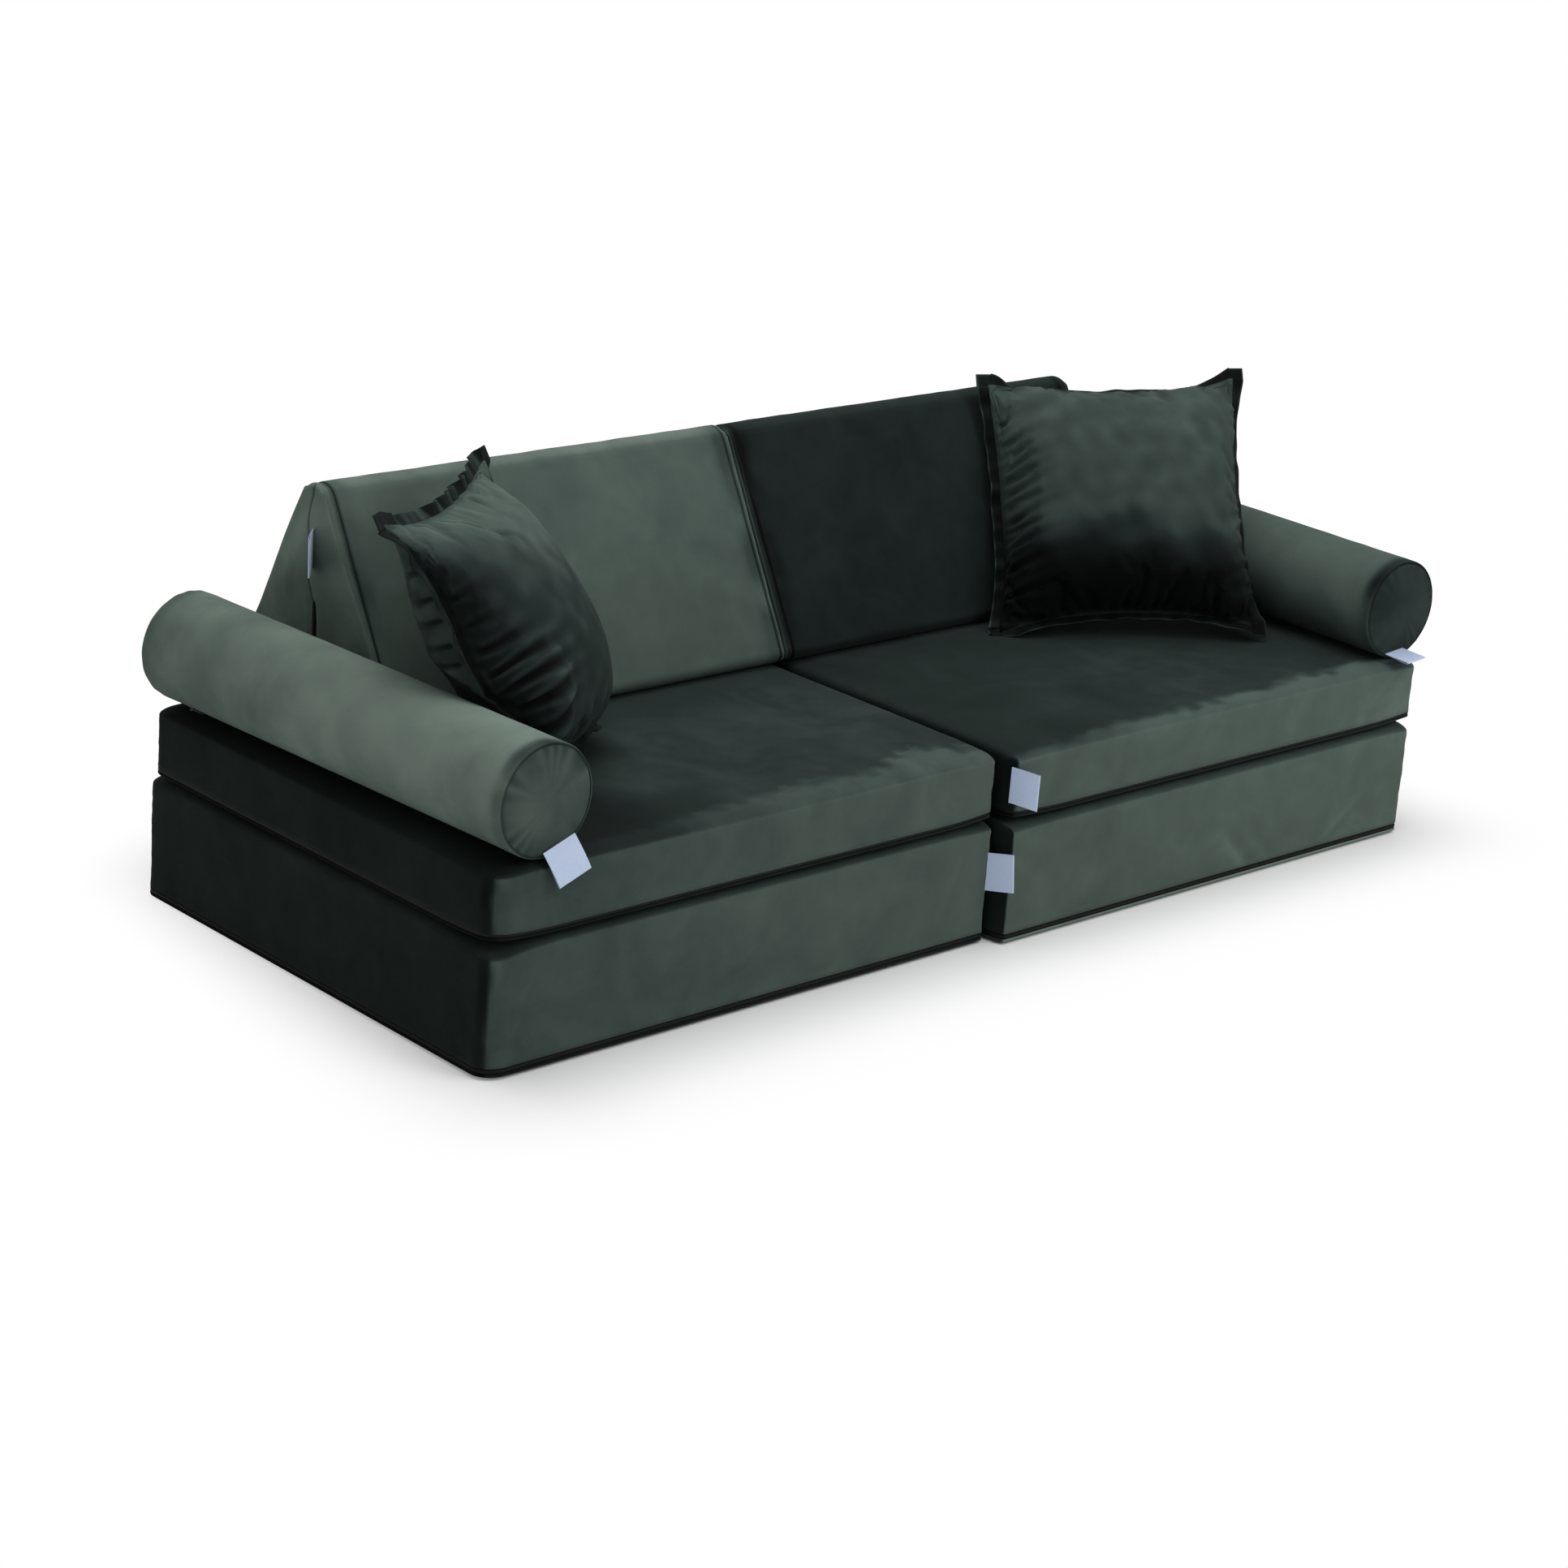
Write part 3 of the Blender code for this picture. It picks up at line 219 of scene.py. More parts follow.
def add_piece(name, points, quads, triangles=(), floats=None):
    """A mesh object with its place in its points. floats holds named values per point."""
    quads = np.asarray(quads, np.int32).reshape(-1, 4)
    triangles = np.asarray(triangles, np.int32).reshape(-1, 3)
    mesh = bpy.data.meshes.new(name)
    mesh.vertices.add(len(points))
    mesh.vertices.foreach_set("co", np.asarray(points, np.float32).ravel())
    mesh.loops.add(quads.size + triangles.size)
    mesh.loops.foreach_set("vertex_index", np.concatenate([quads.ravel(), triangles.ravel()]))
    starts = np.concatenate([np.arange(len(quads)) * 4, quads.size + np.arange(len(triangles)) * 3])
    mesh.polygons.add(len(starts))
    mesh.polygons.foreach_set("loop_start", starts.astype(np.int32))
    mesh.update(calc_edges=True)
    mesh.validate()
    mesh.shade_smooth()
    for key, values in (floats or {}).items():
        mesh.attributes.new(key, "FLOAT", "POINT").data.foreach_set("value", np.asarray(values, np.float32))
    piece = bpy.data.objects.new(name, mesh)
    bpy.context.scene.collection.objects.link(piece)
    return piece


def layer_quads(numbers):
    """Quads of a grid of point numbers, turned so that rows by columns is the outward side."""
    return np.stack([numbers[:-1, :-1], numbers[1:, :-1], numbers[1:, 1:], numbers[:-1, 1:]], -1).reshape(-1, 4)


def ring_numbers(rows, columns):
    """Point numbers of a grid whose last column is its first one again."""
    numbers = np.arange(rows * columns).reshape(rows, columns)
    return np.concatenate([numbers, numbers[:, :1]], 1)


def shell_quads(xs, ys, zs):
    """Point places in the lattice and quads of the skin of a box of grid lines, with no point twice."""
    shape = (len(xs), len(ys), len(zs))
    skin = np.zeros(shape, bool)
    skin[[0, -1]] = True
    skin[:, [0, -1]] = True
    skin[:, :, [0, -1]] = True
    numbers = np.full(shape, -1)
    numbers[skin] = np.arange(skin.sum())
    places = np.argwhere(skin)
    quads = np.concatenate(
        [
            layer_quads(numbers[-1]),
            layer_quads(numbers[0].T),
            layer_quads(numbers[:, -1].T),
            layer_quads(numbers[:, 0]),
            layer_quads(numbers[:, :, -1]),
            layer_quads(numbers[:, :, 0].T),
        ]
    )
    return places, quads


def graded_lines(low, high, low_round, high_round, extra=()):
    """Grid lines from low to high: ROUND_STEPS across each end's rounding, about one STEP apart between."""
    inner = max(int(round((high - high_round - low - low_round) / STEP)), 1)
    parts = [
        np.linspace(low, low + low_round, ROUND_STEPS + 1)[:-1],
        np.linspace(low + low_round, high - high_round, inner + 1),
        np.linspace(high - high_round, high, ROUND_STEPS + 1)[1:],
    ]
    lines = np.concatenate(parts)
    for line in extra:
        lines = lines[abs(lines - line) > STEP / 4]
    return np.sort(np.concatenate([lines, extra]))


def rounding(values, low, high, low_round, high_round):
    """How far each value is into its end's rounding, from -1 to 1, with that rounding's centre and radius."""
    reach = np.clip((values - high + high_round) / high_round, 0, 1)
    reach = reach - np.clip((low + low_round - values) / low_round, 0, 1)
    core = np.clip(values, low + low_round, high - high_round)
    return reach, core, np.where(reach > 0, high_round, low_round)


def rounded_box(points, low, high, low_round, high_round):
    """Box skin points moved onto a box with rounded edges, by the even map from a cube to a ball, and the normals."""
    parts = [rounding(points[:, k], low[k], high[k], low_round[k], high_round[k]) for k in range(3)]
    reach, core, radius = (np.stack([part[n] for part in parts], 1) for n in range(3))
    square = reach**2
    others = square.sum(1)[:, None] - square
    product = square[:, [1, 2, 0]] * square[:, [2, 0, 1]]
    ball = reach * np.sqrt(1 - others / 2 + product / 3)
    normals = ball / radius
    normals /= np.linalg.norm(normals, axis=1)[:, None]
    return core + radius * ball, normals


def box_of(node):
    """Lowest and highest corner of a node of the frame."""
    low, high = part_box(node)
    return np.array(low), np.array(high)


# Zips


def path_frames(points, outward):
    """Frames of a path: points, unit directions along, across and outward."""
    points = np.asarray(points, float)
    outward = np.asarray(outward, float)
    along = np.gradient(points, axis=0)
    along /= np.linalg.norm(along, axis=1)[:, None]
    across = np.cross(outward, along)
    across /= np.linalg.norm(across, axis=1)[:, None]
    return {"points": points, "along": along, "across": across, "outward": outward}


def resampled(frames, places):
    """The frames at the given lengths along the path."""
    steps = np.linalg.norm(np.diff(frames["points"], axis=0), axis=1)
    lengths = np.concatenate([[0], np.cumsum(steps)])
    made = {}
    for key, values in frames.items():
        made[key] = np.stack([np.interp(places, lengths, values[:, k]) for k in range(3)], 1)
        if key != "points":
            made[key] /= np.linalg.norm(made[key], axis=1)[:, None]
    return made


def moved_frames(frames, turn, shift):
    """The frames turned by a matrix and then shifted."""
    made = {key: values @ turn.T for key, values in frames.items()}
    made["points"] = made["points"] + shift
    return made


def path_length(frames):
    """Length along the path's points."""
    return np.linalg.norm(np.diff(frames["points"], axis=0), axis=1).sum()


def carried(rows, section):
    """A section's points (along, across, outward) set at every frame of the rows."""
    axes = np.stack([rows[key] for key in ("along", "across", "outward")], 1)
    return rows["points"][:, None] + np.einsum("sk,rkc->rsc", section, axes)


def add_zip(name, frames, body, node):
    """Tape carried along the path, with a row of coil teeth on it."""
    length = path_length(frames)
    corners = ((-1, -1), (1, -1), (1, 1), (-1, 1))
    tape_section = [(0, b * TAPE_HALF, -TAPE_SINK - (0.5 - h / 2) * TAPE_THICKNESS) for b, h in corners]
    tape = carried(resampled(frames, np.linspace(0, length, max(int(length / STEP), 8))), np.array(tape_section))
    count, sides = tape.shape[:2]
    numbers = ring_numbers(count, sides)
    tape_quads = np.concatenate([layer_quads(numbers), numbers[:1, :4], numbers[-1:, 3::-1]])
    tooth_section = [
        (a * TOOTH_LENGTH / 2, b * half, rise - TAPE_SINK)
        for half, rise in ((TOOTH_HALF, 0.0), (TOOTH_CREST, TOOTH_HEIGHT))
        for a, b in corners
    ]
    teeth = carried(resampled(frames, np.arange(TOOTH_PITCH / 2, length, TOOTH_PITCH)), np.array(tooth_section))
    cube = np.array([(0, 3, 2, 1), (4, 5, 6, 7), (0, 1, 5, 4), (1, 2, 6, 5), (2, 3, 7, 6), (3, 0, 4, 7)])
    tooth_quads = cube + (np.arange(len(teeth)) * 8)[:, None, None] + count * sides
    points = np.concatenate([tape.reshape(-1, 3), teeth.reshape(-1, 3)])
    piece = add_piece(name, points, np.concatenate([tape_quads, tooth_quads.reshape(-1, 4)]))
    shades = np.zeros(len(piece.data.polygons), np.int32)
    shades[len(tape_quads):] = 1
    piece.data.materials.append(LOOKS["zip_tape"])
    piece.data.materials.append(LOOKS["zip_coil"])
    piece.data.polygons.foreach_set("material_index", shades)
    piece.data.set_sharp_from_angle(angle=math.radians(35))
    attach(piece, body)
    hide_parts(node)


def lay_zip(points, frames, blend_reach, flat_reach=SLOT_HALF + LIP):
    """Cover points near the path brought level with it, and sunk where the slot runs.

    They are level within flat_reach beside the path, and let go by blend_reach."""
    spine = resampled(frames, np.linspace(0, path_length(frames), int(path_length(frames) / (3 * MM)) + 2))
    low = spine["points"].min(0) - blend_reach
    high = spine["points"].max(0) + blend_reach
    near = np.flatnonzero(((points > low) & (points < high)).all(1))
    moved = points.copy()
    for part in np.array_split(near, max(len(near) // 4000, 1)):
        gap = points[part][:, None] - spine["points"][None]
        nearest = (gap**2).sum(-1).argmin(1)
        off = points[part] - spine["points"][nearest]
        along = (off * spine["along"][nearest]).sum(1)
        across = (off * spine["across"][nearest]).sum(1)
        outward = spine["outward"][nearest]
        rise = (off * outward).sum(1)
        beyond = np.where((nearest == 0) | (nearest == len(spine["points"]) - 1), abs(along), 0.0)
        hold = 1 - ease(abs(across) + beyond, flat_reach, blend_reach)
        inside = (abs(across) < SLOT_HALF) & (beyond < LIP) & (abs(rise) < blend_reach)
        target = np.where(inside, -SLOT_DEPTH, 0.0)
        shift = np.where(abs(rise) < blend_reach, (target - rise) * np.where(inside, 1.0, hold), 0.0)
        moved[part] += outward * shift[:, None]
    return moved


def slot_lines(centre):
    """Grid lines that let a surface drop steeply into the zip's slot."""
    return [centre + side * (SLOT_HALF + edge * LIP) for side in (-1, 1) for edge in (-1, 1)] + [centre]


# Mattresses


def outline_path(low, high, height, hand, rounds):
    """The zip's path: along the back, round the outer side and the front, and a little way up the inner side."""
    centre = (low + high) / 2
    half = (high - low) / 2
    outer, inner = rounds
    inner_back = np.array([half[0] - inner - ZIP_SETBACK, half[1]])
    points, normals = [inner_back], [(0.0, 1.0)]
    for k, (sx, sy) in enumerate([(-1, 1), (-1, -1), (1, -1)]):
        radii = np.array([outer if sx < 0 else inner, FRONT_ROUND])
        middle = np.array([sx, sy]) * (half[:2] - radii)
        for angle in np.linspace(math.pi / 2 * (1 + k), math.pi / 2 * (2 + k), 9):
            turn = np.array([math.cos(angle), math.sin(angle)])
            points.append(middle + radii * turn)
            normals.append(turn / radii / np.linalg.norm(turn / radii))
    points.append(points[-1] + np.array([0.0, ZIP_INNER_RUN]))
    normals.append((1.0, 0.0))
    points = np.array(points)
    normals = np.array(normals)
    points[:, 0] *= -hand
    normals[:, 0] *= -hand
    points = np.column_stack([points + centre[:2], np.full(len(points), height)])
    normals = np.column_stack([normals, np.zeros(len(normals))])
    return path_frames(*densified(points, normals))


def densified(points, normals):
    """Points added on the straight stretches, so that each step is at most about two grid steps."""
    made_points, made_normals = [points[0]], [normals[0]]
    for a, b, n, m in zip(points, points[1:], normals, normals[1:]):
        count = max(int(np.linalg.norm(b - a) / (2 * STEP)), 1)
        for share in np.arange(1, count + 1) / count:
            made_points.append(a + (b - a) * share)
            normal = n + (m - n) * share
            made_normals.append(normal / np.linalg.norm(normal))
    return np.array(made_points), np.array(made_normals)


def mattress_skin(low, high, low_round, high_round, zip_height):
    """Points of a rounded box, the ways out of them and its quads, with grid lines at the zip's slot."""
    slot = ((), (), slot_lines(zip_height))
    lines = [graded_lines(low[k], high[k], low_round[k], high_round[k], slot[k]) for k in range(3)]
    places, quads = shell_quads(*lines)
    points = np.stack([lines[k][places[:, k]] for k in range(3)], 1)
    points, normals = rounded_box(points, low, high, low_round, high_round)
    return points, normals, quads


def near_corner(points, low, high):
    """1 at a box's upright corners, and a bell's fall away from them."""
    gap = np.minimum(points - low, high - points)[:, :2]
    return bump(np.linalg.norm(gap, axis=1), 0, CORNER_REACH)


def front_lift(points, low, high, lift):
    """How far the bottom lifts at the front corners."""
    return lift * near_corner(points, low, high) * (points[:, 1] < (low[1] + high[1]) / 2)


def hung_lip(points, normals, zip_height):
    """1 just above the zip on the front and the sides, nothing higher up, below the zip and on the back."""
    hung = 1 - ease(points[:, 2], zip_height + 2 * SLOT_HALF, zip_height + 6 * SLOT_HALF)
    return hung * (points[:, 2] > zip_height + SLOT_HALF / 2) * (1 - ease(normals[:, 1], 0.0, 0.4))


def add_mattress(name, zip_rise, tones, seed, fall=0.0, lift=0.0, lip_drop=0.0, pulls=()):
    """A foam block's cover: rounded box, bellied sides, a top that rolls to its edges, and soft unevenness.

    At the corners the top falls a little, at the outer front one further by fall, and at the front ones the bottom
    lifts by lift. lip_drop is how far the cover hangs over the zip on the sides where its slider never runs."""
    hand = HANDS[name.split("_")[1]]
    box = box_of(name + "_cover")
    belly = np.array([END_BELLY, FRONT_BELLY, 0.0])
    low, high = box[0] + belly, box[1] - belly
    rounds = OUTER_AND_INNER_ROUNDS[name]
    low_x, high_x = rounds[::-hand]
    zip_height = low[2] + zip_rise
    points, normals, quads = mattress_skin(
        low, high, (low_x, FRONT_ROUND, BOTTOM_EDGE), (high_x, FRONT_ROUND, TOP_EDGE), zip_height
    )
    share = (points - low) / (high - low)
    swell = np.clip(4 * share * (1 - share), 0, 1)
    above = ease(points[:, 2], zip_height + SLOT_HALF, zip_height + 5 * SLOT_HALF)
    points[:, :2] += normals[:, :2] * belly[:2] * swell[:, [1, 0]] * (swell[:, 2] * above)[:, None]
    inset = np.minimum(points - box[0], box[1] - points)[:, :2]
    top = np.clip(normals[:, 2], 0, 1)
    points[:, 2] -= TOP_ROLL * (1 - ease(inset.min(1), 0, TOP_ROLL_WIDTH)) * top
    uneven = 0.9 * MM * drift(points, 0.16, seed) + 0.35 * MM * drift(points, 0.05, seed + 1)
    points -= normals * (abs(uneven) * above * np.where(top > 0.5, 0.5, 1.0))[:, None]
    points -= normals * (edge_folds(points, *box, seed) * above)[:, None]
    frames = outline_path(low, high, zip_height, hand, rounds)
    points = lay_zip(points, frames, ZIP_BLEND)
    pile_and_painted_light = mattress_pile_and_light(points, normals, *box, zip_height, tones, seed)
    pull = front_pulls(points, pulls) * np.clip(-normals[:, 1], 0, 1)
    points += normals * (PULL_HEIGHT * pull)[:, None]
    points[:, 2] -= lip_drop * hung_lip(points, normals, zip_height)
    outer_front = (hand * (share[:, 0] - 0.5) > 0) & (share[:, 1] < 0.5)
    falls = (CORNER_FALL + fall * outer_front) * near_corner(points, *box) * ease(share[:, 2], 0.6, 1)
    lifts = front_lift(points, *box, lift) * (1 - ease(share[:, 2], 0.2, 0.7))
    points[:, 2] += lifts - falls
    frames["points"][:, 2] += front_lift(frames["points"], *box, lift)
    # The pulls' ridges get a painted highlight and the hollows beside them a painted shade
    piece = add_piece(name + "_velvet", points, quads, floats={"pile_and_painted_light": pile_and_painted_light + 0.05 * pull})
    dress(piece, name, name + "_cover", name + "_foam")
    add_zip(name + "_zip_row", frames, name, name + "_zip")


def edge_folds(points, low, high, seed):
    """Shallow folds that run in from the upright corners, where the cover is a little wide for its foam."""
    inset = np.minimum(points - low, high - points)[:, :2]
    beside = np.sort(inset, axis=1)[:, 1]
    wave = drift(points * np.array([1.0, 1.0, 2.2]), 0.06, seed + 5)
    return FOLD_DEPTH * bump(beside, 18 * MM, 26 * MM) * abs(wave)


def front_pulls(points, pulls):
    """Soft ridges that rise aslant above the front's zip: each with its place along X, its lean and its strength."""
    height = points[:, 2]
    ridge = np.zeros(len(points))
    for spot, lean, strength in pulls:
        line = points[:, 0] - spot - lean * (height - 40 * MM)
        ridge += strength * (bump(line, 0, 13 * MM) - 0.7 * bump(line, 24 * MM, 14 * MM))
    return ridge * ease(height, 14 * MM, 30 * MM) * (1 - ease(height, 60 * MM, 110 * MM))


def mattress_pile_and_light(points, normals, low, high, zip_height, tones, seed):
    """Tone of the pile, with painted light and shade: it changes at the upright corners, where a painted shade and a
    painted highlight lie, the front grows lighter towards the right as painted light, and the front's tone runs over
    onto the top in a band.
    """
    share = (points - low) / (high - low)
    # The front grows lighter towards the right: painted light
    front = between(tones["front"], share[:, 0])
    # Degrees round the corner: 0 on the front and back, 90 on the ends, with a painted shade just past the corner and
    # a painted highlight on a fold beside it
    facing = np.degrees(np.arctan2(abs(normals[:, 0]), abs(normals[:, 1])))
    facing = facing + 5 * drift(points, 0.05, seed + 6)
    end = ease(facing, 39, 51)
    sides = np.where(normals[:, 1] < 0, front, tones["back"]) * (1 - end) + tones["end"] * end
    painted_corner_shade = bump(facing, 62, 16) * bump(share[:, 2], 0.64, 0.22)
    fold = bump(facing, 26, 14) * bump(share[:, 2], 0.9, 0.14)
    sides = sides - 0.16 * painted_corner_shade + 0.10 * fold - 0.03 * bump(facing, 60, 14)
    # The top: its own tone, darker towards the back as painted shade, the front's tone over its band with a brushed
    # edge, and the painted shade towards the left
    depth = points[:, 1] - low[1]
    reach = between(tones["reach"], share[:, 0])
    brushed = 0.30 * drift(points[:, :2], 0.16, seed + 7) + 0.24 * drift(points[:, :2], 0.04, seed + 8)
    band = 1 - ease(depth + reach * brushed, reach - 14 * MM, reach + 14 * MM)
    on_top = tones["top"] - 0.07 * ease(share[:, 1], 0.35, 0.6)
    on_top = on_top + (front - tones["band"] - on_top) * band
    patch = 1 - share[:, 0] + 0.10 * drift(points[:, :2], 0.22, seed + 9)
    on_top = on_top - tones["shade"] * ease(patch, *tones["shaded"])
    up = ease(normals[:, 2], 0.45, 0.95)
    pile_and_painted_light = sides * (1 - up) + on_top * up - 0.05 * bump(normals[:, 2], 0.65, 0.25) * (normals[:, 1] < -0.2)
    # The strip under the zip, darkened as painted shade in the gap below it (a tone below 0 lightens it instead, as
    # painted light), with its lowest edge lighter again
    under = ease(zip_height - points[:, 2], 2 * MM, 5 * MM)
    edge = 1 - ease(points[:, 2] - low[2], 1.5 * MM, 3.5 * MM)
    return pile_and_painted_light - under * tones["under"] * np.where(tones["under"] > 0, 1 - 0.8 * edge, 1)


def dress(piece, body, *replaced, fill=1.0):
    """Velvet on a padded piece that rides on its body and stands for the named nodes."""
    piece.data.materials.append(LOOKS["velvet"])
    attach(piece, body)
    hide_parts(*replaced)


# Wedges


def wedge_rounds(depth, height):
    """How far from the middle the foot's centre is, and the direction square to the face, from the level.

    The face is the common tangent of the foot's round and the ridge's."""
    run = depth / 2 - FOOT_RADIUS
    rise = height - RIDGE_RADIUS - FOOT_RADIUS
    slope = math.atan2(rise, run) + math.asin((RIDGE_RADIUS - FOOT_RADIUS) / math.hypot(run, rise))
    return run, math.pi / 2 - slope


def wedge_side(depth, height, levels):
    """Half of the section: from the bottom's end round the foot, up the face and round to the ridge's shoulder."""
    run, face = wedge_rounds(depth, height)
    foot = np.linspace(-math.pi / 4, face, 7)
    foot_points = np.stack([run + FOOT_RADIUS * np.cos(foot), FOOT_RADIUS + FOOT_RADIUS * np.sin(foot)], 1)
    ridge = np.linspace(face, math.pi / 4, 6)
    ridge_z = height - RIDGE_RADIUS
    ridge_points = np.stack([RIDGE_RADIUS * np.cos(ridge), ridge_z + RIDGE_RADIUS * np.sin(ridge)], 1)
    shares = np.linspace(0, 1, levels + 1)[1:-1, None]
    slope = foot_points[-1] + (ridge_points[0] - foot_points[-1]) * shares
    angles = np.concatenate([foot, np.full(len(slope), face), ridge])
    swell = np.concatenate([np.zeros(len(foot)), 4 * shares[:, 0] * (1 - shares[:, 0]), np.zeros(len(ridge))])
    return np.concatenate([foot_points, slope, ridge_points]), angles, swell


def wedge_section(depth, height):
    """Half of the section as three rows of points, bottom, top and side, with the directions out of them.

    The bottom runs from the middle to the foot, the top from the middle down the ridge's shoulder. The last row is
    the side's share of the crown."""
    side, side_turn, swell = wedge_side(depth, height, int(height / STEP))
    run, _ = wedge_rounds(depth, height)
    fixed = np.array([SLOT_HALF - LIP, SLOT_HALF + LIP])
    spread = np.linspace(fixed[-1], run, int(run / STEP))[1:]
    half = np.concatenate([[0.0], fixed, spread])
    curl = np.linspace(0, math.pi / 4, 4)[1:]
    corner = np.stack([run + FOOT_RADIUS * np.sin(curl), FOOT_RADIUS - FOOT_RADIUS * np.cos(curl)], 1)
    bottom = np.concatenate([np.stack([half, np.zeros(len(half))], 1), corner])
    bottom_turn = np.concatenate([np.full(len(half), -math.pi / 2), curl - math.pi / 2])
    top_turn = math.pi / 2 - math.pi / 4 * np.linspace(0, 1, len(bottom))
    top = np.stack([RIDGE_RADIUS * np.cos(top_turn), height - RIDGE_RADIUS + RIDGE_RADIUS * np.sin(top_turn)], 1)
    return (bottom, top, side), (bottom_turn, top_turn, side_turn), swell


def wedge_grid(depth, height):
    """Half of the section on a grid of columns from the middle to the front and levels from the bottom to the ridge.

    It is a patch stretched between its sides: the mix of bottom and top, plus the mix of middle line and side, less
    the mix of the four corners."""
    (bottom, top, side), turns, swell = wedge_section(depth, height)
    across = (bottom[:, 0] / bottom[-1, 0])[:, None, None]
    up = np.linspace(0, 1, len(side))[None, :, None]
    middle = between((bottom[0], top[0]), up[0]) * np.array([0.0, 1.0])
    column = between((bottom[:, None], top[:, None]), up)
    row = between((middle, side), across)
    low_corners = between((middle[0], bottom[-1]), across)
    high_corners = between((middle[-1], top[-1]), across)
    grid = column + row - between((low_corners, high_corners), up)
    grid[0] = middle
    return grid, turns, swell


def wedge_faces(places, turns, swell):
    """Which points lie on bottom, faces or ridge, the way out of them as (Y, Z), and their share of the crown."""
    bottom_turn, top_turn, side_turn = turns
    column = places[:, 1] - (len(bottom_turn) - 1)
    level = places[:, 2]
    side = abs(column) == len(bottom_turn) - 1
    base = (level == 0) & ~side
    crest = (level == len(side_turn) - 1) & ~side
    skin = side | base | crest
    turn = np.where(base, bottom_turn[abs(column)], np.where(crest, top_turn[abs(column)], side_turn[level]))
    outward = np.stack([np.cos(turn) * np.sign(column), np.sin(turn)], 1) * skin[:, None]
    return skin, outward, swell[level] * side


def end_swell(points, depth, reach, from_end, low, high, bulges, seed):
    """How far points move along X at the ends: the edge is stretched out, and the panel swells above the zip's foot,
    sinks along its middle seam and puckers beside it.

    bulges holds the swell of the left end and of the right one, which also counts between the ends' rounds."""
    middle = (low + high) / 2
    rise = points[:, 2] - low[2]
    aside = points[:, 1] - middle[1]
    bulge = np.where(reach < 0, *bulges)
    stretch = np.clip(1 - from_end / (70 * MM), 0, 1) ** 2 * ease(rise, 0.12, 0.30)
    edge = np.where(points[:, 0] < middle[0], -1, 1) * 1.1 * bulge * stretch
    swell = bulge * ease(depth, 0, 55 * MM) * ease(rise, 0.11, 0.22)
    above_zip = ease(rise, WEDGE_ZIP_TOP, WEDGE_ZIP_TOP + 12 * MM)
    seam = np.minimum(WEDGE_SEAM_INSET, bulge) * np.clip(1 - abs(aside) / (4 * MM), 0, 1) * above_zip
    spot = np.stack([aside * 1.4, rise * 1.4, np.zeros(len(points))], 1)
    pucker = 0.35 * bulge * drift(spot, 0.06, seed + 6) * np.exp(-abs(aside) / (30 * MM))
    pucker = pucker * ease(depth, 0, 20 * MM) * ease(rise, 0.1, 0.2)
    panel = swell - seam + np.minimum(pucker, 0.5 * MM)
    return edge + np.sign(reach) * (abs(reach) == 1) * panel


def add_wedge(name, tones, end_bulges, seed):
    """A wedge's cover: the section carried along X, faces crowned, end panels pillowed out above the zip."""
    low, high = box_of(name + "_cover")
    half_grid, turns, swell = wedge_grid(*(high - low)[1:])
    grid = np.concatenate([half_grid[:0:-1] * np.array([-1.0, 1.0]), half_grid])
    beside = WEDGE_END_RADIUS + np.array([1.2, 2.4, 3.6, 5.5]) * MM
    seam_lines = np.concatenate([low[0] + beside, high[0] - beside])
    xs = graded_lines(low[0], high[0], WEDGE_END_RADIUS, WEDGE_END_RADIUS, seam_lines)
    places, quads = shell_quads(xs, range(len(grid)), range(len(grid[0])))
    line = xs[places[:, 0]]
    flat = grid[places[:, 1], places[:, 2]]
    skin, outward, lift = wedge_faces(places, turns, swell)
    depth = edge_depth(flat, grid, skin)
    reach, core, _ = rounding(line, low[0], high[0], WEDGE_END_RADIUS, WEDGE_END_RADIUS)
    from_end = np.minimum(line - low[0], high[0] - line)
    along = (line - low[0]) / (high[0] - low[0])
    crown = WEDGE_CROWN * lift * 4 * along * (1 - along)
    inset = WEDGE_END_RADIUS * (1 - np.sqrt(1 - reach**2 / 2))
    seam = WEDGE_SEAM_DEPTH * bump(from_end, WEDGE_END_RADIUS + WEDGE_SEAM_INSET, 1.5 * MM)
    flat = flat + outward * (crown - inset - seam)[:, None]
    rim = np.clip(1 - depth / WEDGE_END_RADIUS, 0, 1) ** 2
    x = core + WEDGE_END_RADIUS * reach * (1 - (1 - math.sqrt(0.5)) * rim)
    points = np.column_stack([x, flat[:, 0] + (low[1] + high[1]) / 2, flat[:, 1] + low[2]])
    points[:, 0] += end_swell(points, depth, reach, from_end, low, high, end_bulges, seed)
    normals = np.column_stack([np.where(skin, reach * 0.7, np.sign(reach)), outward])
    normals /= np.maximum(np.linalg.norm(normals, axis=1), 1e-6)[:, None]
    uneven = 0.8 * MM * drift(points, 0.14, seed) + 0.3 * MM * drift(points, 0.05, seed + 1)
    points -= normals * (abs(uneven) * (points[:, 2] - low[2] > 20 * MM))[:, None]
    frames = wedge_zip_path(low, high)
    points = lay_zip(points, frames, ZIP_BLEND)
    pile_and_painted_light = wedge_pile_and_light(points, normals, low, high, tones, seed)
    piece = add_piece(name + "_velvet", points, quads, floats={"pile_and_painted_light": pile_and_painted_light})
    dress(piece, name, name + "_cover", name + "_foam")
    add_zip(name + "_zip_row", frames, name, name + "_zip")


def edge_depth(flat, grid, skin):
    """Distance of each end panel's point from the section's outline, as the least over the outline's points."""
    outline = np.concatenate([grid[0], grid[:, -1], grid[-1, ::-1], grid[::-1, 0]])
    depth = np.zeros(len(flat))
    for part in np.array_split(np.flatnonzero(~skin), 12):
        gaps = flat[part][:, None] - outline[None]
        depth[part] = np.sqrt((gaps**2).sum(-1)).min(1)
    return depth


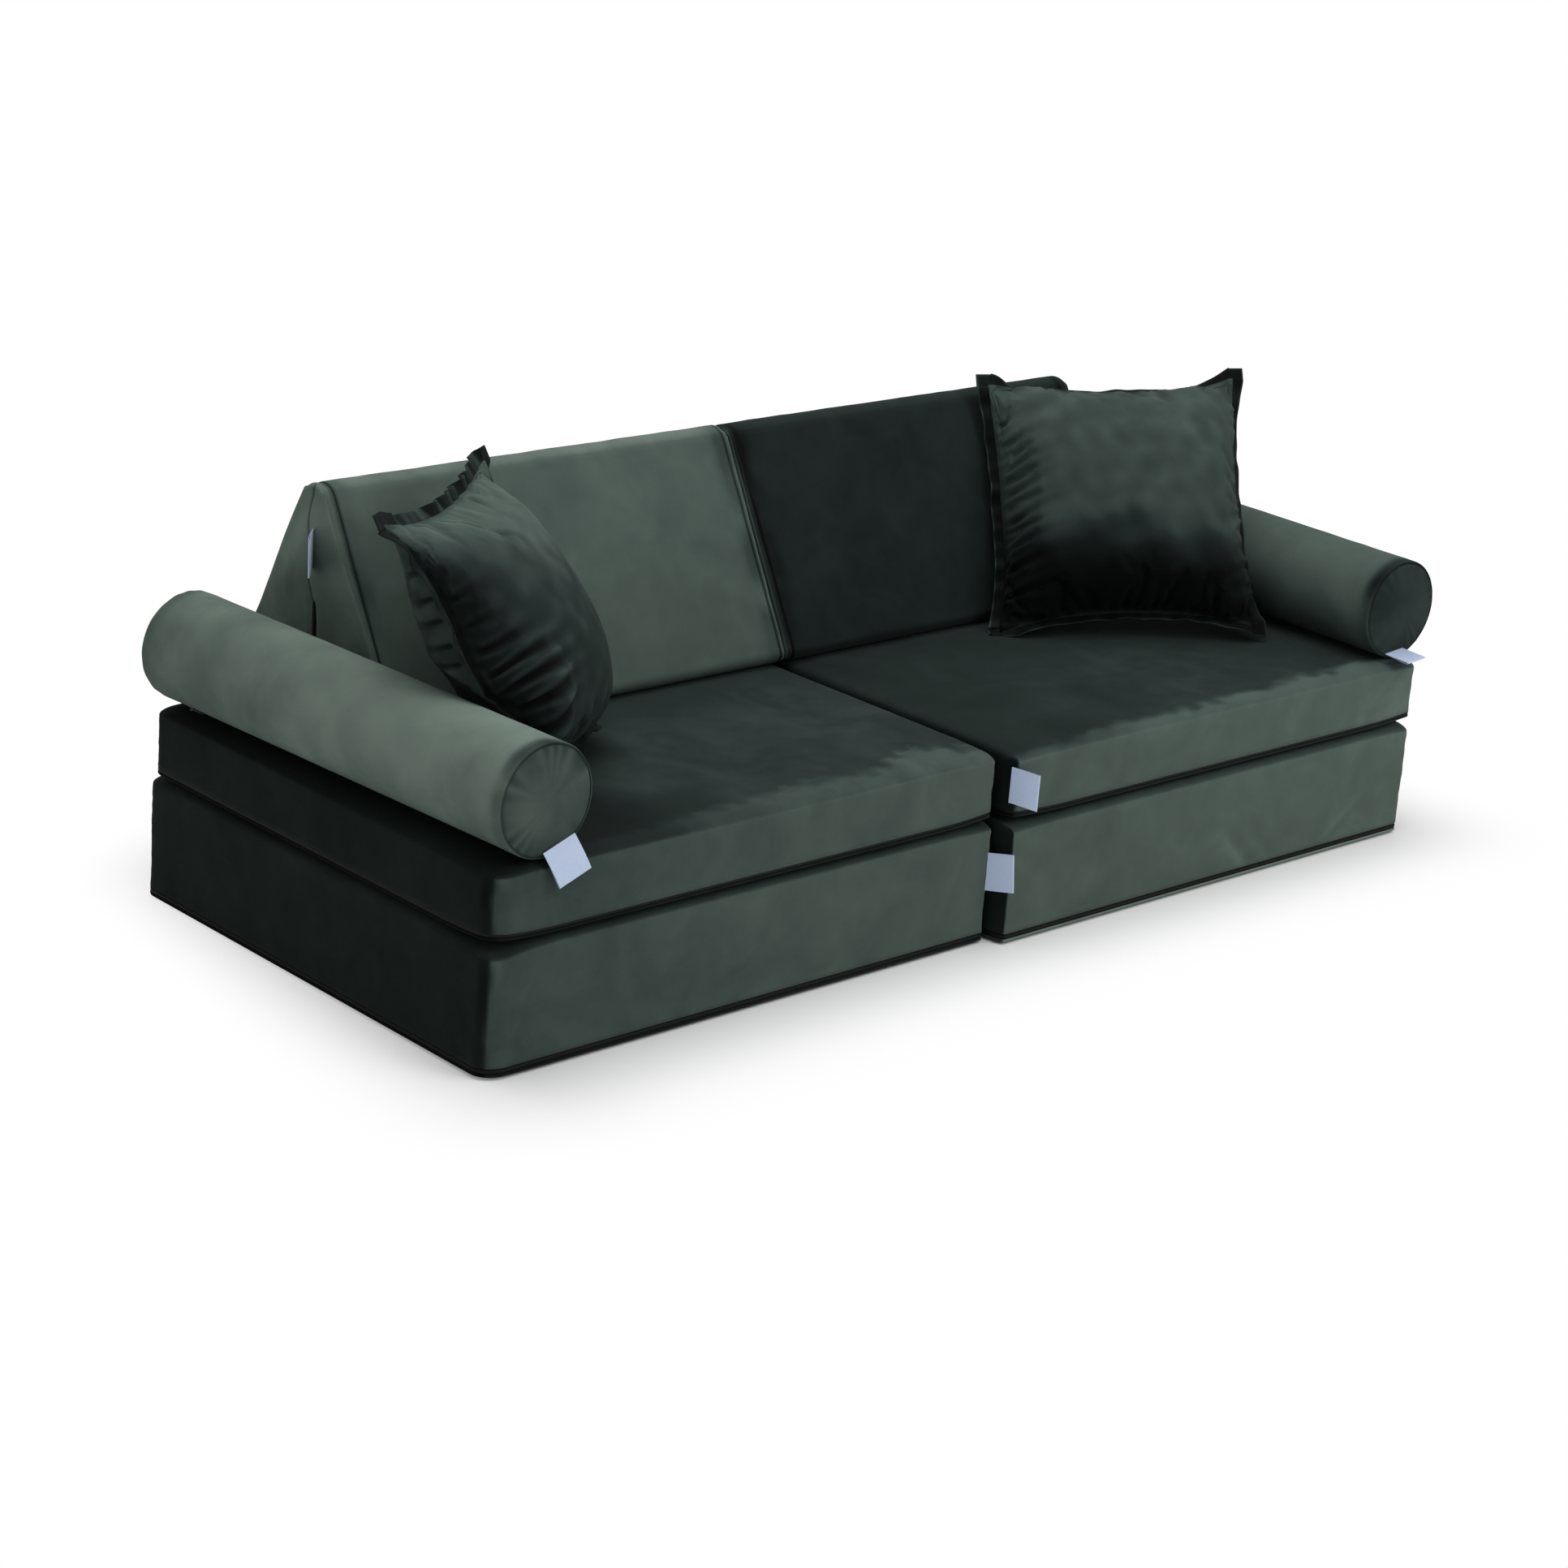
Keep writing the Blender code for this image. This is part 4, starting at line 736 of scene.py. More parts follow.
def wedge_zip_path(low, high):
    """Down the middle of one end panel, along the bottom and up the other end."""
    middle = (low[1] + high[1]) / 2
    radius = WEDGE_END_RADIUS - 1 * MM
    points, normals = [], []
    for side, x in ((-1, low[0]), (1, high[0])):
        arc = np.linspace(0, math.pi / 2, 6)
        run = [(x, middle, low[2] + WEDGE_ZIP_TOP)]
        facing = [(side, 0.0, 0.0)]
        for angle in arc:
            centre = (x - side * radius, low[2] + radius)
            run.append((centre[0] + side * radius * math.cos(angle), middle, centre[1] - radius * math.sin(angle)))
            facing.append((side * math.cos(angle), 0.0, -math.sin(angle)))
        points += run if side < 0 else run[::-1]
        normals += facing if side < 0 else facing[::-1]
    return path_frames(*densified(np.array(points), np.array(normals)))


def wedge_pile_and_light(points, normals, low, high, tones, seed):
    """Tone by side: front face, back face, end panels and ridge, mixed by how far a point faces each way. The ridge's
    tone, lighter than the faces, is a painted sheen highlight.

    The seams beside the ends and down the panels' middle are darker, and a painted shade lies on the faces beside the
    end seams."""
    front = np.clip(-normals[:, 1], 0, 1) ** 2
    back = np.clip(normals[:, 1], 0, 1) ** 2
    ends = normals[:, 0] ** 2
    ridge = np.clip(normals[:, 2] - 0.75, 0, 1) * 4
    under = np.clip(-normals[:, 2], 0, 1) ** 2
    total = front + back + ends + ridge + under + 1e-6
    share = (points[:, 0] - low[0]) / (high[0] - low[0])
    face = between(tones["front"], share)
    pile_and_painted_light = front * face + back * tones["back"] + ends * tones["end"]
    pile_and_painted_light = (pile_and_painted_light + ridge * tones["ridge"] + under * tones["back"]) / total
    from_end = np.minimum(points[:, 0] - low[0], high[0] - points[:, 0])
    seam = 0.4 * bump(from_end, WEDGE_END_RADIUS + WEDGE_SEAM_INSET, 2.2 * MM) * (ends < 0.5)
    # A painted shade on the faces beside the end seams
    painted_seam_shade = 0.10 * bump(from_end, 20 * MM, 16 * MM) * (ends < 0.3) * (1 + drift(points, 0.07, seed + 9))
    line = abs(points[:, 1] - (low[1] + high[1]) / 2) / (3 * MM)
    centre = 0.3 * np.clip(1 - line, 0, 1) * (ends > 0.5)
    blotch = 0.07 * drift(points, 0.09, seed + 8) * (ends > 0.5)
    return pile_and_painted_light - seam - painted_seam_shade - centre + blotch


# Bolsters


def bolster_profile():
    """Radius and place along Y from end to end: a domed disc, an edge of a quarter round, the tube and back again."""
    half = BOLSTER_LENGTH / 2
    rim = BOLSTER_RADIUS - BOLSTER_EDGE
    disc = np.concatenate([np.linspace(0.02, 0.5, 8), np.linspace(0.5, 1, 16)[1:]]) * rim
    arc = np.linspace(0, math.pi / 2, 9)[1:]
    end_radii = np.concatenate([disc, rim + BOLSTER_EDGE * np.sin(arc)])
    edge_y = BOLSTER_DOME + BOLSTER_EDGE * (1 - np.cos(arc))
    end_y = np.concatenate([BOLSTER_DOME * (disc / rim) ** 2.5, edge_y]) - half
    near = end_y[-1] + np.array([2, 4, 7, 11, 16, 22, 30, 40]) * MM
    far = np.linspace(near[-1], -near[-1], int(-2 * near[-1] / STEP))[1:]
    tube_y = np.concatenate([near, far, -near[-2::-1]])
    radii = np.concatenate([end_radii, np.full(len(tube_y), BOLSTER_RADIUS), end_radii[::-1]])
    return radii, np.concatenate([end_y, tube_y, -end_y[::-1]])


def bolster_pleats(angle, y, radius, height, seed):
    """Depth of the pleats, waves round the axis that die away from the seam, and the shade they leave on a disc."""
    rim = BOLSTER_RADIUS - BOLSTER_EDGE
    on_disc = radius < rim
    beside_disc = np.maximum(BOLSTER_LENGTH / 2 - abs(y) - BOLSTER_DOME, 0)
    from_seam = np.where(on_disc, rim - radius, beside_disc)
    around = np.stack([np.cos(angle) * 0.16, np.sin(angle) * 0.16, np.sign(y) * 0.5], -1)
    strength = np.clip(0.5 + drift(around, 0.14, seed), 0.05, 1.5)
    wave = np.cos(PLEATS * angle + 5.0 * drift(around, 0.2, seed + 1)) * strength
    reach = np.where(on_disc, 19 * MM, 11 * MM) * (0.6 + 0.6 * strength)
    fade = np.exp(-from_seam / reach)
    depth = height * np.where(on_disc, 1.0, 0.35) * (1 + wave) / 2 * fade
    return depth, (depth - 0.25 * height * fade) / PLEAT_DEPTH * on_disc


def add_bolster(side, tones, pleats, seed):
    """A cylinder's cover, turned about Y: domed end discs, a seam round each, and pleats that fan out from it."""
    name = "bolster_" + side
    low, high = box_of(name + "_cover")
    centre = (low + high) / 2
    rest = (high[2] - low[2]) / 2
    hand = HANDS[side]
    half = BOLSTER_LENGTH / 2
    rim = BOLSTER_RADIUS - BOLSTER_EDGE
    radii, ys = bolster_profile()
    zip_turn = -BOLSTER_ZIP_FALL if hand > 0 else math.pi + BOLSTER_ZIP_FALL
    slot = np.array(slot_lines(0.0)) / BOLSTER_RADIUS + zip_turn
    turns = np.linspace(slot.max(), slot.min() + TURN, 180)
    turns = np.concatenate([turns, np.sort(slot)[1:-1] + TURN])
    angle, y = np.meshgrid(turns, ys)
    radius = np.repeat(radii[:, None], len(turns), 1)
    sink, shade = bolster_pleats(angle, y, radius, pleats, seed)
    sink += RING_SEAM_DEPTH * bump(radius - rim, 0, 1.8 * MM) * (abs(y) > half - 20 * MM)
    skin = np.stack([np.cos(angle) * BOLSTER_RADIUS, y, np.sin(angle) * BOLSTER_RADIUS], -1)
    soft = 0.6 * MM * abs(drift(skin, 0.12, seed + 2))
    at_end = abs(y) > half - BOLSTER_DOME - BOLSTER_EDGE
    facing_y = at_end * np.clip((BOLSTER_RADIUS - radius) / BOLSTER_EDGE, 0, 1)
    turned = np.sqrt(1 - facing_y**2)
    radius = radius - (sink + soft) * turned
    y = y - np.sign(y) * (sink + soft * 0.5) * facing_y
    z = np.maximum(radius * np.sin(angle), -rest)
    points = np.stack([radius * np.cos(angle), y, z], -1).reshape(-1, 3)
    normals = np.stack([np.cos(angle) * turned, np.sign(y) * facing_y, np.sin(angle) * turned], -1).reshape(-1, 3)
    outward = np.array([hand * math.cos(BOLSTER_ZIP_FALL), 0.0, -math.sin(BOLSTER_ZIP_FALL)])
    reach = half - BOLSTER_ZIP_MARGIN
    run = np.array([outward * rest + np.array([0.0, end, 0.0]) for end in (reach, -reach)])
    frames = path_frames(*densified(run, np.array([outward, outward])))
    points = lay_zip(points, frames, BOLSTER_ZIP_BLEND)
    pile_and_painted_light = bolster_pile_and_light(points, normals, tones, seed) - 0.34 * shade.ravel()
    numbers = ring_numbers(*angle.shape)
    first, last = numbers[0], numbers[-1]
    pole = np.full(angle.shape[1], angle.size)
    fans = [np.stack([pole, first[:-1], first[1:]], 1), np.stack([pole + 1, last[1:], last[:-1]], 1)]
    points = np.concatenate([points, [[0.0, -half, 0.0], [0.0, half, 0.0]]])
    pile_and_painted_light = np.concatenate([pile_and_painted_light, [tones["end"]] * 2])
    yaw = BOLSTER_YAWS[side]
    swing = np.array([[math.cos(yaw), -math.sin(yaw), 0], [math.sin(yaw), math.cos(yaw), 0], [0, 0, 1]])
    placed = points @ swing.T + centre
    piece = add_piece(name + "_velvet", placed, layer_quads(numbers), np.concatenate(fans), {"pile_and_painted_light": pile_and_painted_light})
    dress(piece, name, name + "_cover", name + "_foam")
    add_zip(name + "_zip_row", moved_frames(frames, swing, centre), name, name + "_zip")


def bolster_pile_and_light(points, normals, tones, seed):
    """Tone of tube and discs, darker at each ring seam, with a painted shade on the tube behind it and low down, a
    painted highlight on the tube's rolled edge, and darker at the back.
    """
    ends = abs(normals[:, 1]) ** 2
    gap = BOLSTER_LENGTH / 2 - abs(points[:, 1]) - BOLSTER_DOME
    # A painted shade on the tube behind each ring seam
    painted_seam_shade = (1 - ease(gap, 8 * MM, 30 * MM)) * (1 - ends) * (1 + 0.5 * drift(points, 0.06, seed + 4))
    painted_seam_shade = painted_seam_shade * (0.3 + 0.7 * ease(normals[:, 2], -0.2, 0.7)) * np.where(points[:, 1] < 0, 1.0, 0.2)
    radius = np.hypot(points[:, 0], points[:, 2])
    seam = bump(radius, BOLSTER_RADIUS - BOLSTER_EDGE, 1.6 * MM) * (gap < BOLSTER_EDGE)
    painted_edge_highlight = bump(radius, BOLSTER_RADIUS, 1.6 * MM) * (gap < BOLSTER_EDGE + 2 * MM)
    blotch = 0.035 * drift(points, 0.1, seed + 5)
    low_side = 0.08 * (1 - ease(normals[:, 2], -0.7, 0.3))
    behind = 0.08 * ease(points[:, 1], 0, 0.3)
    tube = tones["tube"] - 0.38 * painted_seam_shade + blotch - low_side - behind
    return tube * (1 - ends) + (tones["end"] + 2 * blotch) * ends - 0.3 * seam + 0.05 * painted_edge_highlight


# Pillows

PILLOW_HALF = PILLOW_SIZE / 2 - FLANGE_WIDTH
FLANGE_HALF = FLANGE_THICKNESS / 2


def pillow_plane(u, v, form):
    """Middle of the pillow at (u, v): the body reaches from -1 to 1, and the flange lies beyond, bent at its seam.

    form holds the flange's bends (left, right, low, top; forward is negative), how far the bottom and top seams
    arch inwards, how far the left side curls forward, and how far each corner is pulled out."""
    u_body = np.clip(u, -1, 1)
    v_body = np.clip(v, -1, 1)
    draw = PILLOW_DRAW_IN / PILLOW_HALF
    draw_up = np.where(v_body < 0, *form["arches"]) / PILLOW_HALF
    out_x = FLANGE_WIDTH * (u - u_body)
    out_z = FLANGE_WIDTH * (v - v_body)
    left, right, low, top = form["bends"]
    bend_x = np.where(u < 0, left, right) * (1 - v_body**8)
    bend_z = np.where(v < 0, low, top) * (1 - u_body**8)
    x = PILLOW_HALF * u_body * (1 - draw * (1 - v_body**2)) + out_x * np.cos(bend_x)
    z = PILLOW_HALF * v_body * (1 - draw_up * (1 - u_body**2)) + out_z * np.cos(bend_z)
    y = abs(out_x) * np.sin(bend_x) + abs(out_z) * np.sin(bend_z)
    inner = np.clip(CURL_REACH - 1 - u_body, 0, None) / CURL_REACH
    beyond = np.clip(-out_x, 0, None) / PILLOW_HALF / CURL_REACH
    y = y - form["curl"] * (inner**2 + 2 * beyond) * (1 - v_body**4)
    for side, end, shift_x, shift_z in form["corners"]:
        near = (np.clip(side * u_body, 0, 1) * np.clip(end * v_body, 0, 1)) ** 5
        x = x + shift_x * near
        z = z + shift_z * near
    return np.stack([x, y, z], -1)


def lapped(u):
    """Place across the front panel, which laps a little way over the flange, from -1 to 1."""
    body = np.clip(u, -1, 1)
    across = PILLOW_HALF * body + FLANGE_WIDTH * (u - body)
    return np.clip(across / (PILLOW_HALF + FLANGE_LAP), -1, 1)


def pillow_panels(u, v, press, form):
    """Front and back panels: a crown of (1 - u^2)(1 - v^2) to a power on each side of the pressed middle plane."""
    crown = ((1 - lapped(u) ** 2) * (1 - lapped(v) ** 2)) ** CROWN_POWER
    front = FLANGE_HALF + (PILLOW_FRONT_CROWN - FLANGE_HALF) * crown * (1 - PILLOW_SAG_SHARE * lapped(v))
    back_crown = ((1 - np.clip(u, -1, 1) ** 2) * (1 - np.clip(v, -1, 1) ** 2)) ** CROWN_POWER
    fuller = 1 + form["fuller"] * np.clip(-u, 0, 1)
    back = FLANGE_HALF + (PILLOW_BACK_CROWN - FLANGE_HALF) * back_crown * fuller
    middle = pillow_plane(u, v, form)
    middle = middle + press(middle, back)
    facing = np.array([0.0, 1.0, 0.0])
    return middle - front[..., None] * facing, middle + back[..., None] * facing


def softly_positive(value, softness):
    """The value where it is well above nothing, easing to nothing below it."""
    return softness * np.logaddexp(0, value / softness)


def neighbours_of(side):
    """What the pillow leans on: its bolster's centre and the way in from it, the backrest's ridge and the way out of
    its face, and the seat's height."""
    yaw = BOLSTER_YAWS[side]
    low, high = box_of("back_left_cover")
    depth, height = (high - low)[1:]
    lean = math.pi - wedge_rounds(depth, height)[1]
    return {
        "centre": sum(box_of("bolster_" + side + "_cover")) / 2,
        "inward": -HANDS[side] * np.array([math.cos(yaw), math.sin(yaw), 0.0]),
        "ridge": np.array([0.0, (low[1] + high[1]) / 2, high[2] - RIDGE_RADIUS]),
        "face": np.array([0.0, math.cos(lean), math.sin(lean)]),
        "seat": box_of("seat_left_cover")[1][2],
    }


def make_press(turn, origin, near):
    """How the bolster, the backrest and the seat push the pillow's middle plane away from them.

    The bolster pushes along its radius, the backrest square to its face and the seat upwards, each by what is
    missing to the half thickness, in rounds that grow less soft."""
    upward = np.array([0.0, 0.0, 1.0])
    inward, ridge, face = near["inward"], near["ridge"], near["face"]

    def press(points, thickness):
        start = points @ turn.T + origin
        world = start.copy()
        for softness in PRESS_SOFTNESSES:
            off = world - near["centre"]
            side = off @ inward
            rise = off[..., 2]
            slant = np.arctan2(np.maximum(rise, 0.0), np.maximum(side + BOLSTER_PRESS_REACH, CONTACT_GAP))
            along = side * np.cos(slant) + rise * np.sin(slant)
            beside = rise * np.cos(slant) - side * np.sin(slant)
            radius = BOLSTER_RADIUS + BOLSTER_PRESS_GAP + thickness
            need = np.sqrt(np.maximum(radius**2 - beside**2, 0.0)) - along
            push = np.where(abs(beside) < radius, softly_positive(need, softness), 0.0)[..., None]
            world = world + push * (np.cos(slant)[..., None] * inward + np.sin(slant)[..., None] * upward)
            need = 2 * CONTACT_GAP + thickness - ((world - ridge) @ face - RIDGE_RADIUS - WEDGE_CROWN)
            below = world[..., 2] < ridge[2] + RIDGE_RADIUS + thickness
            world = world + np.where(below, softly_positive(need, softness), 0.0)[..., None] * face
            need = near["seat"] + CONTACT_GAP + thickness * abs(turn[2, 1]) - world[..., 2]
            world[..., 2] += softly_positive(need, min(softness, SEAT_PRESS_SOFTNESS))
        return (world - start) @ turn

    return press


def pillow_lines(cells, extra=()):
    """Grid lines across body and flange, closer together towards the seams."""
    steps = np.linspace(-1, 1, cells + 1)
    body = 0.55 * np.sin(steps * math.pi / 2) + 0.45 * steps
    for line in extra:
        body = body[abs(body - line) > 0.007]
    flange = np.array([1.08, 1.17, 1.25, 1.31, 1.36, 1.45, 1.6, 1.8, 1.95, 2.0])
    return np.sort(np.concatenate([-flange, body, extra, flange]))


def halved(lines):
    """The lines with one more midway in each gap."""
    middles = (lines[:-1] + lines[1:]) / 2
    return np.sort(np.concatenate([lines, middles]))


def refined(grid):
    """The grid's values with one more midway in each gap, on a cubic through its four neighbours."""
    for axis in (0, 1):
        grid = np.moveaxis(grid, axis, 0)
        wider = np.concatenate([grid[:1], grid, grid[-1:]])
        finer = np.empty((2 * len(grid) - 1, *grid.shape[1:]))
        finer[::2] = grid
        finer[1::2] = (9 * (wider[1:-2] + wider[2:-1]) - wider[:-3] - wider[3:]) / 16
        grid = np.moveaxis(finer, 0, axis)
    return grid


def facing_of(grid):
    """Unit normals of a grid of points, columns turned to rows by the right hand."""
    normals = np.cross(np.gradient(grid, axis=1), np.gradient(grid, axis=0))
    return normals / np.maximum(np.linalg.norm(normals, axis=-1), 1e-12)[..., None]


def pillow_wrinkles(u, v, pinches):
    """Pinched wrinkles square to the seams, valleys above 0 with a ridge on each side.

    pinches holds, for each side, the wrinkles' place along it, reach inwards, tilt and share."""
    seams = {"left": (1 + u, v), "right": (1 - u, v), "low": (1 + v, u), "top": (1 - v, u)}
    depth = np.zeros_like(u)
    for side, marks in pinches.items():
        gap, along = seams[side]
        for spot, reach, tilt, share in marks:
            inward = np.clip(gap, 0, None) / reach
            line = along - spot - tilt * inward
            width = 0.018 + 0.026 * inward
            valley = bump(line, 0, width) - 0.6 * (bump(line, 2 * width, width) + bump(line, -2 * width, width))
            depth += share * valley * np.exp(-1.5 * inward**1.5) * ease(inward, 0, 0.10)
    return depth


def ruffle(u, seed):
    """Uneven zigzag along the top flange, from -1 to 1."""
    along = u / 0.34 + 0.8 * drift(u[..., None], 0.7, seed)
    return 2 * abs(2 * (along - np.floor(along)) - 1) - 1


def flange_waves(u, v, seed, height, crimp):
    """How far the flange waves out of its plane, more towards its edge, and is crimped along the top."""
    out = np.clip(np.maximum(abs(u), abs(v)) - 1, 0, 1)
    edge = np.stack([np.clip(u, -1.1, 1.1), np.clip(v, -1.1, 1.1)], -1)
    waves = height * out**1.2 * (0.7 * drift(edge, 0.45, seed) + 0.8 * drift(edge, 0.19, seed + 1))
    along_top = np.clip(v - 1, 0, 1) * (1 - np.clip(abs(u), 0, 1) ** 6)
    return waves + crimp * ruffle(u, seed + 5) * along_top**0.8


def two_panel_quads(rows, columns):
    """Quads of a front and a back grid of points, and of the rim that joins them."""
    numbers = np.arange(rows * columns).reshape(rows, columns)
    loop = np.concatenate([numbers[0, :-1], numbers[:-1, -1], numbers[-1, :0:-1], numbers[:0:-1, 0]])
    ahead = np.roll(loop, -1)
    rim = np.stack([ahead, loop, loop + rows * columns, ahead + rows * columns], 1)
    return np.concatenate([layer_quads(numbers.T), layer_quads(numbers + rows * columns), rim])


def billowed(points, quads, free, grow, pressure, most):
    """Where a cover settles that is a little wider than its seams, blown out from inside as a cloth.

    Only the free points move, and none further than most."""
    scene = bpy.context.scene
    piece = add_piece("billowing", points, quads)
    held = piece.vertex_groups.new(name="held")
    held.add(np.flatnonzero(~free).tolist(), 1.0, "REPLACE")
    cloth = piece.modifiers.new("cloth", "CLOTH")
    for key, value in {
        "vertex_group_mass": "held",
        "quality": 7,
        "mass": 0.25,
        "air_damping": 2,
        "tension_stiffness": 18,
        "compression_stiffness": 18,
        "shear_stiffness": 6,
        "bending_stiffness": CLOTH_BENDING,
        "use_pressure": True,
        "uniform_pressure_force": pressure,
        "shrink_min": -grow,
    }.items():
        setattr(cloth.settings, key, value)
    cloth.settings.effector_weights.gravity = 0
    cloth.collision_settings.use_collision = False
    cloth.point_cache.frame_start = 1
    cloth.point_cache.frame_end = CLOTH_FRAMES
    for step in range(1, CLOTH_FRAMES + 1):
        scene.frame_set(step)
    shape = piece.evaluated_get(bpy.context.evaluated_depsgraph_get()).data
    settled = np.empty(len(points) * 3, np.float32)
    shape.vertices.foreach_get("co", settled)
    shift = settled.reshape(-1, 3) - points
    length = np.linalg.norm(shift, axis=1)[:, None]
    mesh = piece.data
    bpy.data.objects.remove(piece)
    bpy.data.meshes.remove(mesh)
    scene.frame_set(1)
    return points + shift * np.minimum(1, most / np.maximum(length, CONTACT_GAP)) * free[:, None]


def clear_of_neighbours(points, near):
    """Points pushed out of the bolster, off the backrest's face and up from the seat."""
    gap = 2 * CONTACT_GAP
    points = points.copy()
    off = points - near["centre"]
    side = off @ near["inward"]
    reach = np.hypot(side, off[:, 2])
    push = np.maximum(BOLSTER_RADIUS + gap - reach, 0) / np.maximum(reach, gap)
    points += (push * side)[:, None] * near["inward"]
    points[:, 2] += push * off[:, 2]
    rest = (points - near["ridge"]) @ near["face"] - RIDGE_RADIUS - WEDGE_CROWN
    below = points[:, 2] < near["ridge"][2] + RIDGE_RADIUS
    points += np.where(below, np.maximum(gap - rest, 0), 0)[:, None] * near["face"]
    points[:, 2] = np.maximum(points[:, 2], near["seat"] + CONTACT_GAP)
    return points


def pillow_matrix(side, near):
    """Where the pillow lies: its turn and its place, as shares of its size from bolster, front edge and seat."""
    base_low, base_high = box_of("base_left_cover")
    front_edge = (base_low[1] + base_high[1]) / 2 - BASE_DEPTH / 2
    aside, ahead, rise = (PILLOW_SIZE * share for share in PILLOW_SHARES[side])
    x = near["centre"][0] - HANDS[side] * (BOLSTER_RADIUS + aside)
    place = Vector((x, front_edge + WEDGE_SETBACK - ahead, near["seat"] + rise))
    pitch, roll, yaw = PILLOW_TURNS[side]
    matrix = Matrix.Translation(place) @ Matrix.Rotation(yaw, 4, "Z")
    matrix = np.array(matrix @ Matrix.Rotation(pitch, 4, "X") @ Matrix.Rotation(roll, 4, "Y"))
    return matrix[:3, :3], matrix[:3, 3]


def add_pillow(side, form, tones, pinches, puckers, seed):
    """A crowned cushion in a flat wavy flange, leaning on its neighbours."""
    name = "pillow_" + side
    near = neighbours_of(side)
    turn, origin = pillow_matrix(side, near)
    press = make_press(turn, origin, near)

    def placed(panel):
        return clear_of_neighbours(panel.reshape(-1, 3) @ turn.T + origin, near).reshape(panel.shape)

    coarse = np.sin(np.linspace(-1, 1, PILLOW_CELLS + 1) * math.pi / 2)
    slot = [coarse[PILLOW_ZIP_ROW] + value / PILLOW_HALF for value in slot_lines(0.0)]
    u, v = np.meshgrid(halved(pillow_lines(70)), halved(pillow_lines(70, slot)))
    front, back = pillow_panels(u, v, press, form)
    wave = flange_waves(u, v, seed + 30, FLANGE_WAVE, form["crimp"])[..., None] * np.array([0.0, 1.0, 0.0])
    frames = pillow_zip_path(press, coarse, HANDS[side], form)
    back = lay_zip(back.reshape(-1, 3), frames, PILLOW_ZIP_BLEND, SLOT_HALF + 2 * LIP).reshape(back.shape)
    front, back = placed(front + wave), placed(back + wave)
    across, up = lapped(u), lapped(v)
    body = np.maximum(abs(across), abs(up)) < 0.998
    every = np.s_[::2, ::2]
    start = np.concatenate([front[every].reshape(-1, 3), back[every].reshape(-1, 3)])
    free = np.concatenate([body[every].ravel(), np.zeros(body[every].size, bool)])
    settled = billowed(start, two_panel_quads(*body[every].shape), free, CLOTH_GROWTH, CLOTH_PRESSURE, CLOTH_REACH)
    front = front + refined((settled - start)[: body[every].size].reshape(front[every].shape))
    wrinkle = pillow_wrinkles(across, up, pinches)
    pucker = np.clip(pillow_wrinkles(np.clip(u, -1, 1), np.clip(v, -1, 1), puckers), 0, None)
    spot = np.stack([across, up], -1)
    slack = SLACK_HEIGHT * drift(spot, 0.55, seed) * ease(1 - np.maximum(abs(u), abs(v)), 0, 0.25)
    front = front - facing_of(front) * (WRINKLE_HEIGHT * wrinkle + slack)[..., None]
    back = back + facing_of(back) * (PUCKER_HEIGHT * pucker)[..., None]
    points = clear_of_neighbours(np.concatenate([front.reshape(-1, 3), back.reshape(-1, 3)]), near)
    # The wrinkles get painted shade in their valleys and a painted highlight on their ridges, the back's puckers
    # painted shade
    pile_and_painted_light = pillow_pile_and_light(u, v, tones, seed) - tones["wrinkle"] * wrinkle
    back_pile_and_shade = tones["back"] - 0.3 * pucker + tones["crumple"] * drift(spot, 0.16, seed + 43)
    pile_and_painted_light = np.clip(np.concatenate([pile_and_painted_light.ravel(), back_pile_and_shade.ravel()]), 0, 1)
    piece = add_piece(name + "_velvet", points, two_panel_quads(*u.shape), floats={"pile_and_painted_light": pile_and_painted_light})
    dress(piece, name, name + "_cover", name + "_filling", fill=0.75)
    add_zip(name + "_zip_row", moved_frames(frames, turn, origin), name, name + "_zip")


def pillow_zip_path(press, coarse, hand, form):
    """The zip's path over the back panel, in straight stretches between the body's main grid lines."""
    u, v = np.meshgrid(coarse, coarse)
    _, back = pillow_panels(u, v, press, form)
    columns = slice(PILLOW_ZIP_COLUMN, -PILLOW_ZIP_COLUMN)
    below, run, above = (back[PILLOW_ZIP_ROW + k, columns] for k in (-1, 0, 1))
    along = np.gradient(run, axis=0)
    along /= np.linalg.norm(along, axis=1)[:, None]
    slopes = [(a - b) / np.linalg.norm(a - b, axis=1)[:, None] for a, b in ((above, run), (run, below))]
    outward = np.cross(slopes[0] + slopes[1], along)
    outward /= np.linalg.norm(outward, axis=1)[:, None]
    return path_frames(*densified(run[::hand], outward[::hand]))


